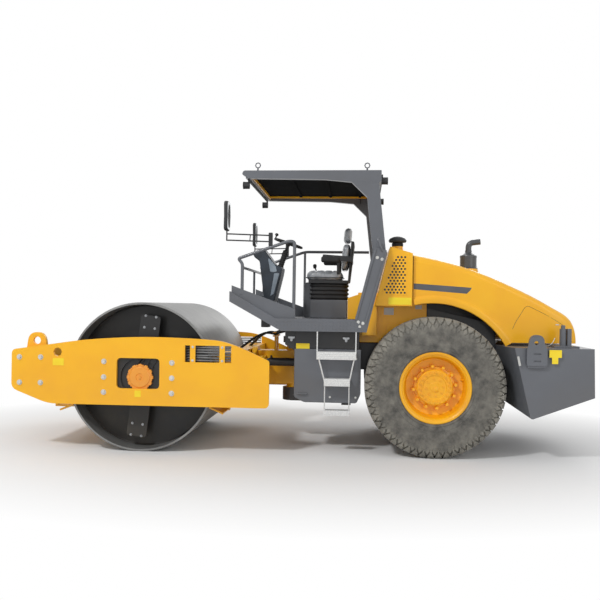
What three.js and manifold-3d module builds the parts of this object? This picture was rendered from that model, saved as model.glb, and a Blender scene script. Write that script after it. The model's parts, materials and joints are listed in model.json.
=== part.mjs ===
// Single-drum road roller: an articulated machine with a smooth drum in front, an open operator's
// platform under a roll-over canopy, and an engine over two driven tyres at the rear.
// Millimetres. -X is the drum end, +X the engine end, -Y the machine's left, +Z up.
// The origin is on the ground, under the middle of the machine's length and width.
import * as THREE from "three";
import { mergeVertices } from "three/addons/utils/BufferGeometryUtils.js";
import Module from "manifold-3d";

const wasm = await Module();
wasm.setup();

// ---------------------------------------------------------------- driving dimensions
const SEAT = 0.3; // gap between two pieces that touch
const PLAY = 0.5; // radial play of a shaft in its bore
const MOVE = 6; // least gap between pieces that move past each other

const FRONT_OVERHANG = 1321; // drum axis to the front end
const DRUM_TO_HITCH = 1492.5;
const HITCH_TO_WHEEL = 1492.5;
const REAR_OVERHANG = 1536; // wheel axis to the rear end

const DRUM_R = 761.5;
const DRUM_WIDTH = 2130;
const DRUM_WALL = 25;
const TYRE_R = 708;
const TYRE_WIDTH = 520;
const TRACK = 1580; // between the middles of the two tyres
const RIM_SEAT_R = 318;
const RIM_FLANGE_R = 360;

const FRAME_HALF = 1150; // outer face of the front side plates
const PLATE_T = 30;
const BEAM_LOW = -200; // the front frame's cross beams, from the oscillation axis
const BEAM_HIGH = 240;

const OSCILLATION_Z = 780;
const PIN_R = 50; // the steering pin
const LUG_LOW = [440, 585]; // heights of the two lugs that hold the steering pin
const LUG_HIGH = [1090, 1160];

const CYLINDER_Z = 885;
const BARREL_PIN = [-350, 300]; // steering cylinder pins, from the hitch axis
const ROD_PIN = [430, 280];
const BARREL_R = 45;
const BARREL_LENGTH = 480;
const ROD_R = 25;
const ROD_LENGTH = 525;

const RAIL_IN = 350; // rear frame rails
const RAIL_OUT = 430;
const RAIL_LOW = 830;
const RAIL_HIGH = 1120;
const TANK_HALF = 820;
const TANK_TOP = 1064;

const FLOOR_TOP = 1375; // operator's floor
const FLOOR_T = 30;
const FLOOR_HALF = 905;
const BEAM_T = 25; // side beams of the floor
const KICK_OUT = 890; // kick panels inside the side beams
const KICK_T = 10;
const TUBE_R = 17; // handrail tube

const ROOF_TOP = 2912;
const ROOF_HALF = 860;
const POST_IN = 790; // roll-over posts
const POST_OUT = 860;

const COWL_HALF = 750;
const COWL_WALL = 25;
const HOOD_HALF = 700;
const HOOD_WALL = 20;
const HOOD_LOW = 1160;
const ARCH_R = 845; // wheel arch of the hood, round the wheel axis
const HINGE_X = 1415; // hood hinge, from the wheel axis
const HINGE_Z = 1200;
const WEIGHT_TOP = 1128; // counterweight
const WEIGHT_HALF = 1080;

// ---------------------------------------------------------------- places that follow
const LENGTH = FRONT_OVERHANG + DRUM_TO_HITCH + HITCH_TO_WHEEL + REAR_OVERHANG;
const FRONT_X = -LENGTH / 2;
const REAR_X = LENGTH / 2;
const DRUM_X = FRONT_X + FRONT_OVERHANG;
const HITCH_X = DRUM_X + DRUM_TO_HITCH;
const WHEEL_X = HITCH_X + HITCH_TO_WHEEL;
const DRUM_HALF = DRUM_WIDTH / 2;
const PLATE_IN = FRAME_HALF - PLATE_T;
const BEAM_Z = [OSCILLATION_Z + BEAM_LOW, OSCILLATION_Z + BEAM_HIGH];

// ---------------------------------------------------------------- finishes
function finish(color, roughness, metalness) {
  return new THREE.MeshStandardMaterial({ color, roughness, metalness });
}
const yellow = () => finish(0xfcc232, 0.4, 0);
const grey = () => finish(0x64666b, 0.45, 0.1);
const black = () => finish(0x1b1c1e, 0.55, 0.1);
const steel = () => finish(0x8d8f91, 0.35, 0.9);
const orange = () => finish(0xf5a83c, 0.4, 0);
const rubber = () => finish(0x55534f, 0.9, 0);
const aluminium = () => finish(0xd5d7d8, 0.4, 0.8);
const plastic = () => finish(0x3a444e, 0.6, 0);
const trim = () => finish(0x2b2c2e, 0.7, 0);

// ---------------------------------------------------------------- solids
// A closed three.js geometry as a manifold-3d solid, facing out whichever way it was drawn.
function solid(geometry) {
  const plain = geometry.index ? geometry.toNonIndexed() : geometry.clone();
  const bare = new THREE.BufferGeometry();
  bare.setAttribute("position", plain.getAttribute("position"));
  const merged = mergeVertices(bare, 1e-3);
  const triangles = [];
  for (let i = 0; i < merged.index.count; i += 3) {
    const [a, b, c] = merged.index.array.slice(i, i + 3);
    if (a !== b && b !== c && c !== a) triangles.push(a, b, c);
  }
  const positions = merged.attributes.position.array;
  const build = (list) =>
    new wasm.Manifold(
      new wasm.Mesh({
        numProp: 3,
        vertProperties: positions,
        triVerts: new Uint32Array(list),
      }),
    );
  const made = build(triangles);
  return made.volume() > 0 ? made : build(triangles.reverse());
}

const join = (...parts) => parts.flat().reduce((all, one) => all.add(one));
const cut = (body, ...tools) => tools.flat().reduce((left, one) => left.subtract(one), body);

function box(x, y, z) {
  const geometry = new THREE.BoxGeometry(x[1] - x[0], y[1] - y[0], z[1] - z[0]);
  geometry.translate((x[0] + x[1]) / 2, (y[0] + y[1]) / 2, (z[0] + z[1]) / 2);
  return solid(geometry);
}

// The same box on both sides of the machine's middle plane, where y is the left one's, outwards.
const boxes = (x, y, z) => [box(x, [-y[1], -y[0]], z), box(x, y, z)];

// A closed outline: each corner is [u, v], or [u, v, radius] for a round one.
function outline(corners, holes = []) {
  const shape = new THREE.Shape();
  corners.forEach(([u, v, r = 0], i) => {
    const here = new THREE.Vector2(u, v);
    const towards = (other) => {
      const way = new THREE.Vector2(other[0], other[1]).sub(here);
      return here.clone().add(way.setLength(Math.min(r, way.length() / 2)));
    };
    const from = towards(corners.at(i - 1));
    const to = towards(corners[(i + 1) % corners.length]);
    if (i === 0) shape.moveTo(from.x, from.y);
    else shape.lineTo(from.x, from.y);
    if (r > 0) shape.quadraticCurveTo(u, v, to.x, to.y);
  });
  shape.closePath();
  shape.holes.push(...holes);
  return shape;
}

function roundHole(u, v, r) {
  return new THREE.Path().absarc(u, v, r, 0, 2 * Math.PI, false);
}

// An outline drawn in one plane and extruded across it: side is X-Z, plan is X-Y, front is Y-Z.
const PLANES = {
  side: [new THREE.Vector3(1, 0, 0), new THREE.Vector3(0, 0, 1), new THREE.Vector3(0, -1, 0)],
  plan: [new THREE.Vector3(1, 0, 0), new THREE.Vector3(0, 1, 0), new THREE.Vector3(0, 0, 1)],
  front: [new THREE.Vector3(0, 1, 0), new THREE.Vector3(0, 0, 1), new THREE.Vector3(1, 0, 0)],
};
function slab(plane, shape, low, high, curveSegments = 3) {
  const geometry = new THREE.ExtrudeGeometry(shape, {
    depth: high - low,
    bevelEnabled: false,
    curveSegments,
  });
  const start = plane === "side" ? -high : low;
  geometry.translate(0, 0, start);
  geometry.applyMatrix4(new THREE.Matrix4().makeBasis(...PLANES[plane]));
  return solid(geometry);
}
const slabs = (shape, low, high, segments) => [
  slab("side", shape, -high, -low, segments),
  slab("side", shape, low, high, segments),
];

// A round bar between two points; its flats lie at the stated radius.
function bar(from, to, r, sides = 12) {
  const a = new THREE.Vector3(...from);
  const b = new THREE.Vector3(...to);
  const corner = r / Math.cos(Math.PI / sides);
  const geometry = new THREE.CylinderGeometry(corner, corner, a.distanceTo(b), sides);
  geometry.rotateY(Math.PI / sides);
  const way = b.clone().sub(a).normalize();
  geometry.applyQuaternion(new THREE.Quaternion().setFromUnitVectors(new THREE.Vector3(0, 1, 0), way));
  geometry.translate(...a.add(b).multiplyScalar(0.5).toArray());
  return solid(geometry);
}

// A solid through a row of cross-sections, each a ring of the same number of 3-D points.
function loft(rings) {
  const count = rings[0].length;
  const corners = [];
  const quad = (a, b, c, d) => corners.push(...a, ...b, ...c, ...a, ...c, ...d);
  for (let i = 0; i + 1 < rings.length; i++) {
    for (let j = 0; j < count; j++) {
      const k = (j + 1) % count;
      quad(rings[i][j], rings[i][k], rings[i + 1][k], rings[i + 1][j]);
    }
  }
  const [first, last] = [rings[0], rings.at(-1)];
  for (let j = 1; j + 1 < count; j++) {
    corners.push(...first[0], ...first[j + 1], ...first[j]);
    corners.push(...last[0], ...last[j], ...last[j + 1]);
  }
  const geometry = new THREE.BufferGeometry();
  geometry.setAttribute("position", new THREE.Float32BufferAttribute(corners, 3));
  return solid(geometry);
}

// A round tube's outer form along straight runs with rounded bends: rings square to its course.
function pipe(points, r, bend = 60, sides = 8) {
  const corners = points.map((p) => new THREE.Vector3(...p));
  const course = [corners[0]];
  corners.slice(1, -1).forEach((corner, i) => {
    const back = corners[i].clone().sub(corner);
    const on = corners[i + 2].clone().sub(corner);
    const reach = Math.min(bend, back.length() / 2, on.length() / 2);
    const start = corner.clone().add(back.setLength(reach));
    const end = corner.clone().add(on.setLength(reach));
    course.push(...new THREE.QuadraticBezierCurve3(start, corner, end).getPoints(3));
  });
  course.push(corners.at(-1));
  const legs = course.slice(1).map((p, i) => p.clone().sub(course[i]).normalize());
  const axes = [[0, 1, 0], [0, 0, 1], [1, 0, 0]].map((axis) => new THREE.Vector3(...axis));
  const side = axes.reduce((a, b) => (Math.abs(b.dot(legs[0])) < Math.abs(a.dot(legs[0])) ? b : a));
  const rings = course.map((at, i) => {
    const way = legs[Math.max(i - 1, 0)].clone().add(legs[Math.min(i, legs.length - 1)]).normalize();
    side.addScaledVector(way, -side.dot(way)).normalize();
    const up = way.clone().cross(side);
    return Array.from({ length: sides }, (_, k) => {
      const turn = (2 * Math.PI * k) / sides;
      return at
        .clone()
        .addScaledVector(side, r * Math.cos(turn))
        .addScaledVector(up, r * Math.sin(turn))
        .toArray();
    });
  });
  return loft(rings);
}

// A turned solid about the Y axis from [radius, y] points, with a flat at the bottom of each ring.
function turned(profile, sides) {
  const scale = 1 / Math.cos(Math.PI / sides);
  const points = profile.map(([r, y]) => new THREE.Vector2(r * scale, y));
  return solid(new THREE.LatheGeometry(points, sides, Math.PI / sides));
}

// The same about the Z axis.
function turnedUp(profile, sides, x, y) {
  const scale = 1 / Math.cos(Math.PI / sides);
  const points = profile.map(([r, z]) => new THREE.Vector2(r * scale, z));
  const geometry = new THREE.LatheGeometry(points, sides, Math.PI / sides);
  geometry.rotateX(Math.PI / 2);
  geometry.translate(x, y, 0);
  return solid(geometry);
}

function meshOf(name, made, material) {
  const raw = made.getMesh();
  const geometry = new THREE.BufferGeometry();
  geometry.setAttribute("position", new THREE.BufferAttribute(new Float32Array(raw.vertProperties), 3));
  geometry.setIndex(new THREE.BufferAttribute(new Uint32Array(raw.triVerts), 1));
  geometry.computeVertexNormals();
  const mesh = new THREE.Mesh(geometry, material);
  mesh.name = name;
  return mesh;
}

// ---------------------------------------------------------------- the machine's bodies
const machine = new THREE.Group();
function body(x = 0, y = 0, z = 0) {
  const group = new THREE.Group();
  group.position.set(x, y, z);
  machine.add(group);
  return group;
}
const rearFrame = body();
const frontFrame = body();
const hitchBody = body(HITCH_X, 0, 0);
const drumBody = body(DRUM_X, 0, DRUM_R);
const hoodBody = body();

function addTo(group, name, made, material) {
  group.add(meshOf(name, made, material));
}
// A left piece, and its mirror image on the right.
function addPair(group, name, made, material) {
  addTo(group, name + "_left", made, material());
  const right = meshOf(name + "_right", made, material());
  right.scale.y = -1;
  group.add(right);
}

// ---------------------------------------------------------------- drum
const DRUM_SIDES = 40;
const HEAD_OUT = 830; // outer face of the disc inside the drum
const HEAD_T = 30;
const ARM_OUT = 960; // outer face of the bar that drives the drum through rubber buffers
const ARM_T = 20;
const ARM_LENGTH = 1260;
const ARM_WIDTH = 210;
const ARM_TILT = THREE.MathUtils.degToRad(6.4);
const HUB_R = 130;
const STUB_SIDES = 28;
const STUB_R = 80; // shaft on which the drum turns
const STUB_END = 880;
const BUFFER_R = 55;

function makeDrumShell() {
  const inside = DRUM_R - DRUM_WALL;
  const ring = [
    [inside, -DRUM_HALF],
    [DRUM_R, -DRUM_HALF],
    [DRUM_R, DRUM_HALF],
    [inside, DRUM_HALF],
    [inside, -DRUM_HALF],
  ];
  return turned(ring, DRUM_SIDES);
}

// Disc, hub, buffers and driving bar at the left end, facing -Y.
function makeDrumHead() {
  const disc = turned(
    [
      [0, -(HEAD_OUT - HEAD_T)],
      [DRUM_R - DRUM_WALL - SEAT, -(HEAD_OUT - HEAD_T)],
      [DRUM_R - DRUM_WALL - SEAT, -HEAD_OUT],
      [0, -HEAD_OUT],
    ],
    DRUM_SIDES,
  );
  const hub = bar([0, -(HEAD_OUT - HEAD_T / 2), 0], [0, -ARM_OUT, 0], HUB_R, 16);
  const arm = slab(
    "side",
    outline([
      [-ARM_WIDTH / 2, -ARM_LENGTH / 2, 30],
      [ARM_WIDTH / 2, -ARM_LENGTH / 2, 30],
      [ARM_WIDTH / 2, ARM_LENGTH / 2, 30],
      [-ARM_WIDTH / 2, ARM_LENGTH / 2, 30],
    ]),
    -ARM_OUT,
    -(ARM_OUT - ARM_T),
  );
  const buffers = [-1, 1].map((end) => {
    const z = end * (ARM_LENGTH / 2 - 140);
    return bar([0, -(ARM_OUT - ARM_T / 2), z], [0, -(HEAD_OUT - HEAD_T / 2), z], BUFFER_R, 8);
  });
  const tilted = join(arm, buffers).rotate([0, THREE.MathUtils.radToDeg(ARM_TILT), 0]);
  const bore = bar([0, -ARM_OUT - 10, 0], [0, -(STUB_END - PLAY), 0], STUB_R + PLAY, STUB_SIDES);
  return cut(join(disc, hub, tilted), bore);
}

addTo(drumBody, "drum_shell", makeDrumShell(), steel());
addPair(drumBody, "drum_head", makeDrumHead(), black);

// ---------------------------------------------------------------- front frame
const PLATE_REAR = HITCH_X - 162;
const REAR_BEAM = [DRUM_X + DRUM_R + 33, HITCH_X - 492];
const FRONT_BEAM = [FRONT_X + 40, DRUM_X - DRUM_R - 208];
const WINDOW = { x: [-224, 218], z: [-113, 195], corner: 45 }; // from the drum axis
const HOSE_WINDOW = { x: [475, 946], z: [165, 334] };

function windowPath({ x, z, corner = 2 }) {
  const points = outline([
    [DRUM_X + x[0], DRUM_R + z[0], corner],
    [DRUM_X + x[1], DRUM_R + z[0], corner],
    [DRUM_X + x[1], DRUM_R + z[1], corner],
    [DRUM_X + x[0], DRUM_R + z[1], corner],
  ]).getPoints(4);
  return new THREE.Path(points);
}

function makeSidePlate() {
  const z = (dz) => DRUM_R + dz;
  const shape = outline(
    [
      [FRONT_X, z(-135), 60],
      [FRONT_X, z(262), 45],
      [FRONT_X + 340, z(311), 200],
      [DRUM_X - 600, z(371), 250],
      [DRUM_X - 170, z(404), 200],
      [DRUM_X + 150, z(413), 200],
      [DRUM_X + 536, z(405), 200],
      [DRUM_X + 850, z(386), 100],
      [DRUM_X + 1044, z(320), 100],
      [PLATE_REAR - 33, z(206), 80],
      [PLATE_REAR, z(188), 30],
      [PLATE_REAR, z(-281), 50],
      [FRONT_X + 385, z(-283), 90],
    ],
    [
      windowPath(WINDOW),
      windowPath(HOSE_WINDOW),
      roundHole(DRUM_X - 839, z(244), 45),
    ],
  );
  return slab("side", shape, -FRAME_HALF, -PLATE_IN, 4);
}

// A lifting eye that stands on a beam: a rounded plate with a hole.
function liftingEye(x, z, foot, r, hole, y) {
  const plate = outline([
    [x - r * 1.3, foot],
    [x + r * 1.3, foot],
    [x + r, z + r, r],
    [x - r, z + r, r],
  ]);
  plate.holes.push(roundHole(x, z, hole));
  return slabs(plate, y[0], y[1], 5);
}

function makeFrontBeam() {
  const half = PLATE_IN - SEAT;
  const beam = box(FRONT_BEAM, [-half, half], [DRUM_R - 122, DRUM_R + 268]);
  const eyes = liftingEye(FRONT_X + 225, DRUM_R + 353, DRUM_R + 258, 85, 40, [1020, 1060]);
  return join(beam, eyes);
}

const SHAFT_R = 90; // oscillation shaft
const SHAFT_END = REAR_BEAM[0] + 35;
function makeRearBeam() {
  const half = PLATE_IN - SEAT;
  const beam = box(REAR_BEAM, [-half, half], BEAM_Z);
  const bore = bar(
    [SHAFT_END - PLAY, 0, OSCILLATION_Z],
    [REAR_BEAM[1] + 50, 0, OSCILLATION_Z],
    SHAFT_R + PLAY,
    32,
  );
  return cut(beam, bore);
}

// Bracket on the side plate with the shaft on which the drum turns, and the round motor cover.
const CARRIER_T = 35;
const POCKET_DEEP = 20; // the motor cover stands in a round pocket
function makeCarrier() {
  const plate = slab(
    "side",
    outline([
      [DRUM_X - 400, DRUM_R - 200, 40],
      [DRUM_X + 390, DRUM_R - 200, 40],
      [DRUM_X + 390, DRUM_R + 205, 40],
      [DRUM_X - 400, DRUM_R + 205, 40],
    ]),
    -(PLATE_IN - SEAT),
    -(PLATE_IN - CARRIER_T),
  );
  const pocket = bar([DRUM_X, -FRAME_HALF, DRUM_R], [DRUM_X, -(PLATE_IN - POCKET_DEEP), DRUM_R], 190, 20);
  const cover = bar(
    [DRUM_X + 10, -(PLATE_IN - 2), DRUM_R],
    [DRUM_X + 10, -(PLATE_IN - POCKET_DEEP - 5), DRUM_R],
    130,
    16,
  );
  const shaftEnds = [-(PLATE_IN - CARRIER_T), -STUB_END].map((y) => [DRUM_X, y, DRUM_R]);
  const shaft = bar(...shaftEnds, STUB_R, STUB_SIDES);
  return join(cut(plate, pocket), cover, shaft);
}

const SCRAPER_Z = 455;
const SCRAPER_GAP = 8;
function makeScraper(end) {
  const reach = Math.sqrt(DRUM_R ** 2 - (DRUM_R - SCRAPER_Z) ** 2);
  const tip = DRUM_X + end * (reach + SCRAPER_GAP);
  const half = DRUM_HALF - 20;
  const blade = slab(
    "side",
    outline([
      [tip, SCRAPER_Z],
      [tip + end * 12, SCRAPER_Z + 14],
      [tip + end * 150, SCRAPER_Z - 46],
      [tip + end * 142, SCRAPER_Z - 62],
    ]),
    -half,
    half,
  );
  const under = end > 0 ? BEAM_Z[0] : DRUM_R - 122;
  const armX = end > 0 ? [REAR_BEAM[0] + 40, REAR_BEAM[0] + 70] : [FRONT_BEAM[1] - 60, FRONT_BEAM[1] - 30];
  const link = [tip + end * 120, armX[end > 0 ? 1 : 0]];
  const arms = [-700, 700].map((y) => {
    const upright = box(armX, [y - 30, y + 30], [SCRAPER_Z - 50, under - SEAT]);
    const reach = [Math.min(...link), Math.max(...link)];
    const foot = box(reach, [y - 30, y + 30], [SCRAPER_Z - 62, SCRAPER_Z - 40]);
    return join(upright, foot);
  });
  return join(blade, arms);
}

addPair(frontFrame, "side_plate", makeSidePlate(), yellow);
addTo(frontFrame, "front_cross_beam", makeFrontBeam(), yellow());
addTo(frontFrame, "rear_cross_beam", makeRearBeam(), yellow());
addPair(frontFrame, "drum_carrier", makeCarrier(), orange);
addTo(frontFrame, "scraper_front", makeScraper(-1), yellow());
addTo(frontFrame, "scraper_rear", makeScraper(1), yellow());

// ---------------------------------------------------------------- hitch
const EYE_HALF = 32; // half the height of a cylinder's eye
const EYE_PIN_R = 20;

// Steering pin, boss, neck, bearing plate, oscillation shaft and the ears of the two cylinders.
function makeHitch() {
  const bossZ = [LUG_LOW[1] + PLAY, LUG_HIGH[0] - PLAY];
  const pin = bar([0, 0, LUG_LOW[0]], [0, 0, LUG_HIGH[1]], PIN_R, 24);
  const boss = bar([0, 0, bossZ[0]], [0, 0, bossZ[1]], 100, 16);
  const plateX = REAR_BEAM[1] + MOVE - HITCH_X;
  const neck = box([plateX + 20, 0], [-110, 110], [OSCILLATION_Z - 150, OSCILLATION_Z + 220]);
  const plate = bar([plateX, 0, OSCILLATION_Z], [plateX + 60, 0, OSCILLATION_Z], 260, 24);
  const shaft = bar([SHAFT_END - HITCH_X, 0, OSCILLATION_Z], [plateX + 30, 0, OSCILLATION_Z], SHAFT_R, 32);
  const ears = [-1, 1].flatMap((side) => {
    const [x, y] = [BARREL_PIN[0], side * BARREL_PIN[1]];
    const across = [Math.min(y, 0), Math.max(y, 0)];
    const plates = [-1, 1].map((up) => {
      const z = CYLINDER_Z + up * (EYE_HALF + PLAY + 12);
      const neck = box([x - 30, x + 30], across, [z - 12, z + 12]);
      return join(neck, bar([x, y, z - 12], [x, y, z + 12], 42, 12));
    });
    return [...plates, bar([x, y, CYLINDER_Z - 60], [x, y, CYLINDER_Z + 60], EYE_PIN_R, 16)];
  });
  return join(pin, boss, neck, plate, shaft, ears);
}
addTo(hitchBody, "hitch", makeHitch(), yellow());

// ---------------------------------------------------------------- steering cylinders
const BARREL_START = 78; // from the eye to the tube
const ROD_EYE_R = 40;
function makeBarrel() {
  const tube = bar([BARREL_START, 0, 0], [BARREL_LENGTH, 0, 0], BARREL_R, 12);
  const gland = bar([BARREL_LENGTH - 50, 0, 0], [BARREL_LENGTH, 0, 0], BARREL_R + 7, 12);
  const eye = bar([0, 0, -EYE_HALF], [0, 0, EYE_HALF], 42, 12);
  const neck = box([0, BARREL_START + 5], [-25, 25], [-25, 25]);
  const bore = bar([BARREL_START + 5, 0, 0], [BARREL_LENGTH + 10, 0, 0], ROD_R + PLAY, 12);
  const pinHole = bar([0, 0, -50], [0, 0, 50], EYE_PIN_R + PLAY, 16);
  return cut(join(tube, gland, eye, neck), bore, pinHole);
}

function makeRod() {
  const rod = bar([-ROD_LENGTH, 0, 0], [0, 0, 0], ROD_R, 12);
  const eye = bar([0, 0, -EYE_HALF], [0, 0, EYE_HALF], ROD_EYE_R, 12);
  const pinHole = bar([0, 0, -50], [0, 0, 50], EYE_PIN_R + PLAY, 16);
  return cut(join(rod, eye), pinHole);
}

[-1, 1].forEach((side) => {
  const name = side < 0 ? "left" : "right";
  const back = [HITCH_X + BARREL_PIN[0], side * BARREL_PIN[1]];
  const front = [HITCH_X + ROD_PIN[0], side * ROD_PIN[1]];
  const turn = Math.atan2(front[1] - back[1], front[0] - back[0]);
  const barrel = body(back[0], back[1], CYLINDER_Z);
  barrel.rotation.z = turn;
  addTo(barrel, "steering_barrel_" + name, makeBarrel(), black());
  const rod = body(front[0], front[1], CYLINDER_Z);
  rod.rotation.z = turn;
  addTo(rod, "steering_rod_" + name, makeRod(), steel());
});

// ---------------------------------------------------------------- rear frame
const WEIGHT_FRONT = WHEEL_X + 675;
const WEIGHT_SLANT = 0.15; // how far its front falls back, for each unit of depth
const FRAME_FRONT = HITCH_X + 90;
const OUTRIGGER = [HITCH_X - 10, WHEEL_X - 765];
const OUTRIGGER_HALF = 780;
const ENGINE = { x: [WHEEL_X - 85, WHEEL_X + 615], half: 300, z: [1000, 1600] };
const AXLE_R = 105;
const LUG_R = 140;

// Rails, the throat of two lugs that holds the steering pin, outriggers under the operator's floor,
// and a clevis for the rod of each steering cylinder.
const CLEVIS_REAR = HITCH_X + ROD_PIN[0] + 112;
const SWING = { x: [HITCH_X - 200, CLEVIS_REAR], half: RAIL_OUT + 10 }; // room the cylinders sweep
const SWING_Z = [CYLINDER_Z - 62, CYLINDER_Z + 60];
function makeChassis() {
  const railEnd = WEIGHT_FRONT + (WEIGHT_TOP - RAIL_HIGH) * WEIGHT_SLANT - SEAT;
  const rails = boxes([FRAME_FRONT, railEnd], [RAIL_IN, RAIL_OUT], [RAIL_LOW, RAIL_HIGH]);
  const head = box([FRAME_FRONT, FRAME_FRONT + 110], [-RAIL_OUT, RAIL_OUT], [SWING_Z[1] - 10, RAIL_HIGH]);
  const web = box([SWING.x[1], SWING.x[1] + 100], [-RAIL_OUT, RAIL_OUT], [LUG_LOW[0], RAIL_HIGH]);
  const belly = box([HITCH_X, SWING.x[1] + 50], [-LUG_R, LUG_R], LUG_LOW);
  const brow = box([HITCH_X, FRAME_FRONT + 60], [-LUG_R, LUG_R], LUG_HIGH);
  const noses = [LUG_LOW, LUG_HIGH].map((z) => bar([HITCH_X, 0, z[0]], [HITCH_X, 0, z[1]], LUG_R, 16));
  const deckCarrier = box(
    OUTRIGGER,
    [-OUTRIGGER_HALF, OUTRIGGER_HALF],
    [RAIL_HIGH + 5, FLOOR_TOP - FLOOR_T - SEAT],
  );
  const sides = boxes(OUTRIGGER, [RAIL_IN, OUTRIGGER_HALF], [TANK_TOP + SEAT, RAIL_HIGH + 50]);
  const spine = box([HITCH_X + 60, HITCH_X + 300], [-RAIL_IN, RAIL_IN], [RAIL_HIGH - 60, RAIL_HIGH + 50]);
  const seats = [ENGINE.x[0] + 20, ENGINE.x[1] - 120].map((x) =>
    box([x, x + 90], [-RAIL_OUT, RAIL_OUT], [ENGINE.z[0] - 50, ENGINE.z[0] - SEAT]),
  );
  const pinHole = bar([HITCH_X, 0, LUG_LOW[0] - 20], [HITCH_X, 0, FLOOR_TOP], PIN_R + PLAY, 24);
  const throat = box(
    [HITCH_X - 200, FRAME_FRONT + 200],
    [-ROD_PIN[1] - 62, ROD_PIN[1] + 62],
    [LUG_LOW[1], LUG_HIGH[0]],
  );
  const swing = box(SWING.x, [-SWING.half, SWING.half], SWING_Z);
  const frame = cut(
    join(rails, head, web, belly, brow, noses, deckCarrier, sides, spine, seats),
    pinHole,
    throat,
    swing,
  );
  return join(frame, makeClevises());
}

// Two plates over and under each rod's eye, on a back plate that stands on the rail's inner face.
function makeClevises() {
  const x = [HITCH_X + ROD_PIN[0] - 60, CLEVIS_REAR + 5];
  const y = [ROD_PIN[1] - 45, RAIL_IN + 20];
  const gap = EYE_HALF + MOVE;
  return [
    boxes(x, y, [CYLINDER_Z + gap, CYLINDER_Z + gap + 25]),
    boxes(x, y, [CYLINDER_Z - gap - 22, CYLINDER_Z - gap]),
    boxes([x[1] - 25, x[1]], y, [CYLINDER_Z - gap - 22, CYLINDER_Z + 120]),
  ].flat();
}

const WHEEL_SIDES = 28;
const AXLE_END = TRACK / 2 + 15;
const HUB_BORE_END = TRACK / 2 + 130;
const STUB_AXLE_R = 60;
function makeAxle() {
  const half = [
    [STUB_AXLE_R, HUB_BORE_END - PLAY],
    [STUB_AXLE_R, AXLE_END],
    [AXLE_R, AXLE_END],
    [AXLE_R, 280],
    [215, 150],
  ];
  const profile = [
    [0, -(HUB_BORE_END - PLAY)],
    ...half.map(([r, y]) => [r, -y]),
    ...half.reverse(),
    [0, HUB_BORE_END - PLAY],
  ];
  const housing = turned(profile, WHEEL_SIDES).translate([WHEEL_X, 0, TYRE_R]);
  const pads = boxes([WHEEL_X - 90, WHEEL_X + 90], [RAIL_IN, RAIL_OUT], [TYRE_R, RAIL_LOW - SEAT]);
  return join(housing, pads);
}

function makeTank() {
  const front = HITCH_X + 57;
  const rear = WHEEL_X - TYRE_R - 36;
  const shape = outline([
    [front, TANK_TOP],
    [front, 564, 20],
    [front + 105, 510, 20],
    [rear - 42, 510, 20],
    [rear, 604, 20],
    [rear, TANK_TOP],
  ]);
  const tank = slab("side", shape, -TANK_HALF, -(RAIL_OUT + SEAT));
  const cylinderRoom = box([front - 10, front + 160], [-(RAIL_OUT + 60), -RAIL_OUT], SWING_Z);
  return cut(tank, cylinderRoom);
}

// Counterweight: a block whose front corners slant back to the machine's sides.
const HINGE_PIN_R = 12;
const EAR = [545, 565]; // the hood hinge's ears
function makeCounterweight() {
  const section = (y, front, frontLow, lowZ, lowX) => [
    [WHEEL_X + front, y, WEIGHT_TOP],
    [REAR_X - 10, y, WEIGHT_TOP],
    [REAR_X, y, 650],
    [WHEEL_X + 945, y, 428],
    [WHEEL_X + lowX, y, lowZ],
    [WHEEL_X + frontLow, y, lowZ + 12],
  ];
  const outer = (y) => section(y, 761, 920, 432, 930);
  const slant = WEIGHT_SLANT * (WEIGHT_TOP - 544);
  const inner = (y) => section(y, WEIGHT_FRONT - WHEEL_X, 675 + slant, 532, 790);
  const core = loft([outer(-WEIGHT_HALF), inner(-700), inner(700), outer(WEIGHT_HALF)]);
  const eyes = liftingEye(WHEEL_X + 968, 1190, 935, 68, 33, [WEIGHT_HALF - 20, WEIGHT_HALF + 30]);
  const hinge = [WHEEL_X + HINGE_X, HINGE_Z];
  const ear = outline([
    [hinge[0] - 30, WEIGHT_TOP - 10],
    [hinge[0] + 30, WEIGHT_TOP - 10],
    [hinge[0] + 24, hinge[1] + 24, 22],
    [hinge[0] - 24, hinge[1] + 24, 22],
  ]);
  const pinHoles = bar([hinge[0], -650, hinge[1]], [hinge[0], 650, hinge[1]], HINGE_PIN_R + PLAY, 16);
  return join(core, eyes, slabs(ear, EAR[0], EAR[1], 3)).subtract(pinHoles);
}

function makeHoodPump() {
  const x = WHEEL_X + 1268;
  const foot = WEIGHT_TOP + SEAT;
  const base = box([x - 97, x + 145], [-970, -830], [foot, foot + 18]);
  const ram = bar([x, -900, foot + 10], [x, -900, foot + 190], 33, 16);
  const cap = bar([x, -900, foot + 180], [x, -900, foot + 225], 20, 12);
  const post = box([x + 36, x + 76], [-935, -865], [foot + 10, foot + 190]);
  return join(base, ram, cap, post);
}

addTo(rearFrame, "chassis", makeChassis(), black());
addTo(rearFrame, "rear_axle", makeAxle(), black());
addPair(rearFrame, "tank", makeTank(), grey);
const engine = box(ENGINE.x, [-ENGINE.half, ENGINE.half], ENGINE.z);
addTo(rearFrame, "engine_block", engine, black());
addTo(rearFrame, "counterweight", makeCounterweight(), grey());
addTo(rearFrame, "hood_pump", makeHoodPump(), grey());

// ---------------------------------------------------------------- wheels
const FLANGE_IN = 232;
const FLANGE_OUT = 247;
function makeTyre() {
  const half = TYRE_WIDTH / 2;
  const bead = FLANGE_IN - SEAT;
  const wall = [
    [RIM_SEAT_R + SEAT, bead],
    [RIM_FLANGE_R + 8, bead],
    [RIM_FLANGE_R + 60, half - 4],
    [TYRE_R - 90, half],
    [TYRE_R - 30, half - 16],
    [TYRE_R, half - 80],
  ];
  const ring = [...wall.map(([r, y]) => [r, -y]), ...wall.reverse()];
  return turned([...ring, ring[0]], WHEEL_SIDES);
}

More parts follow.
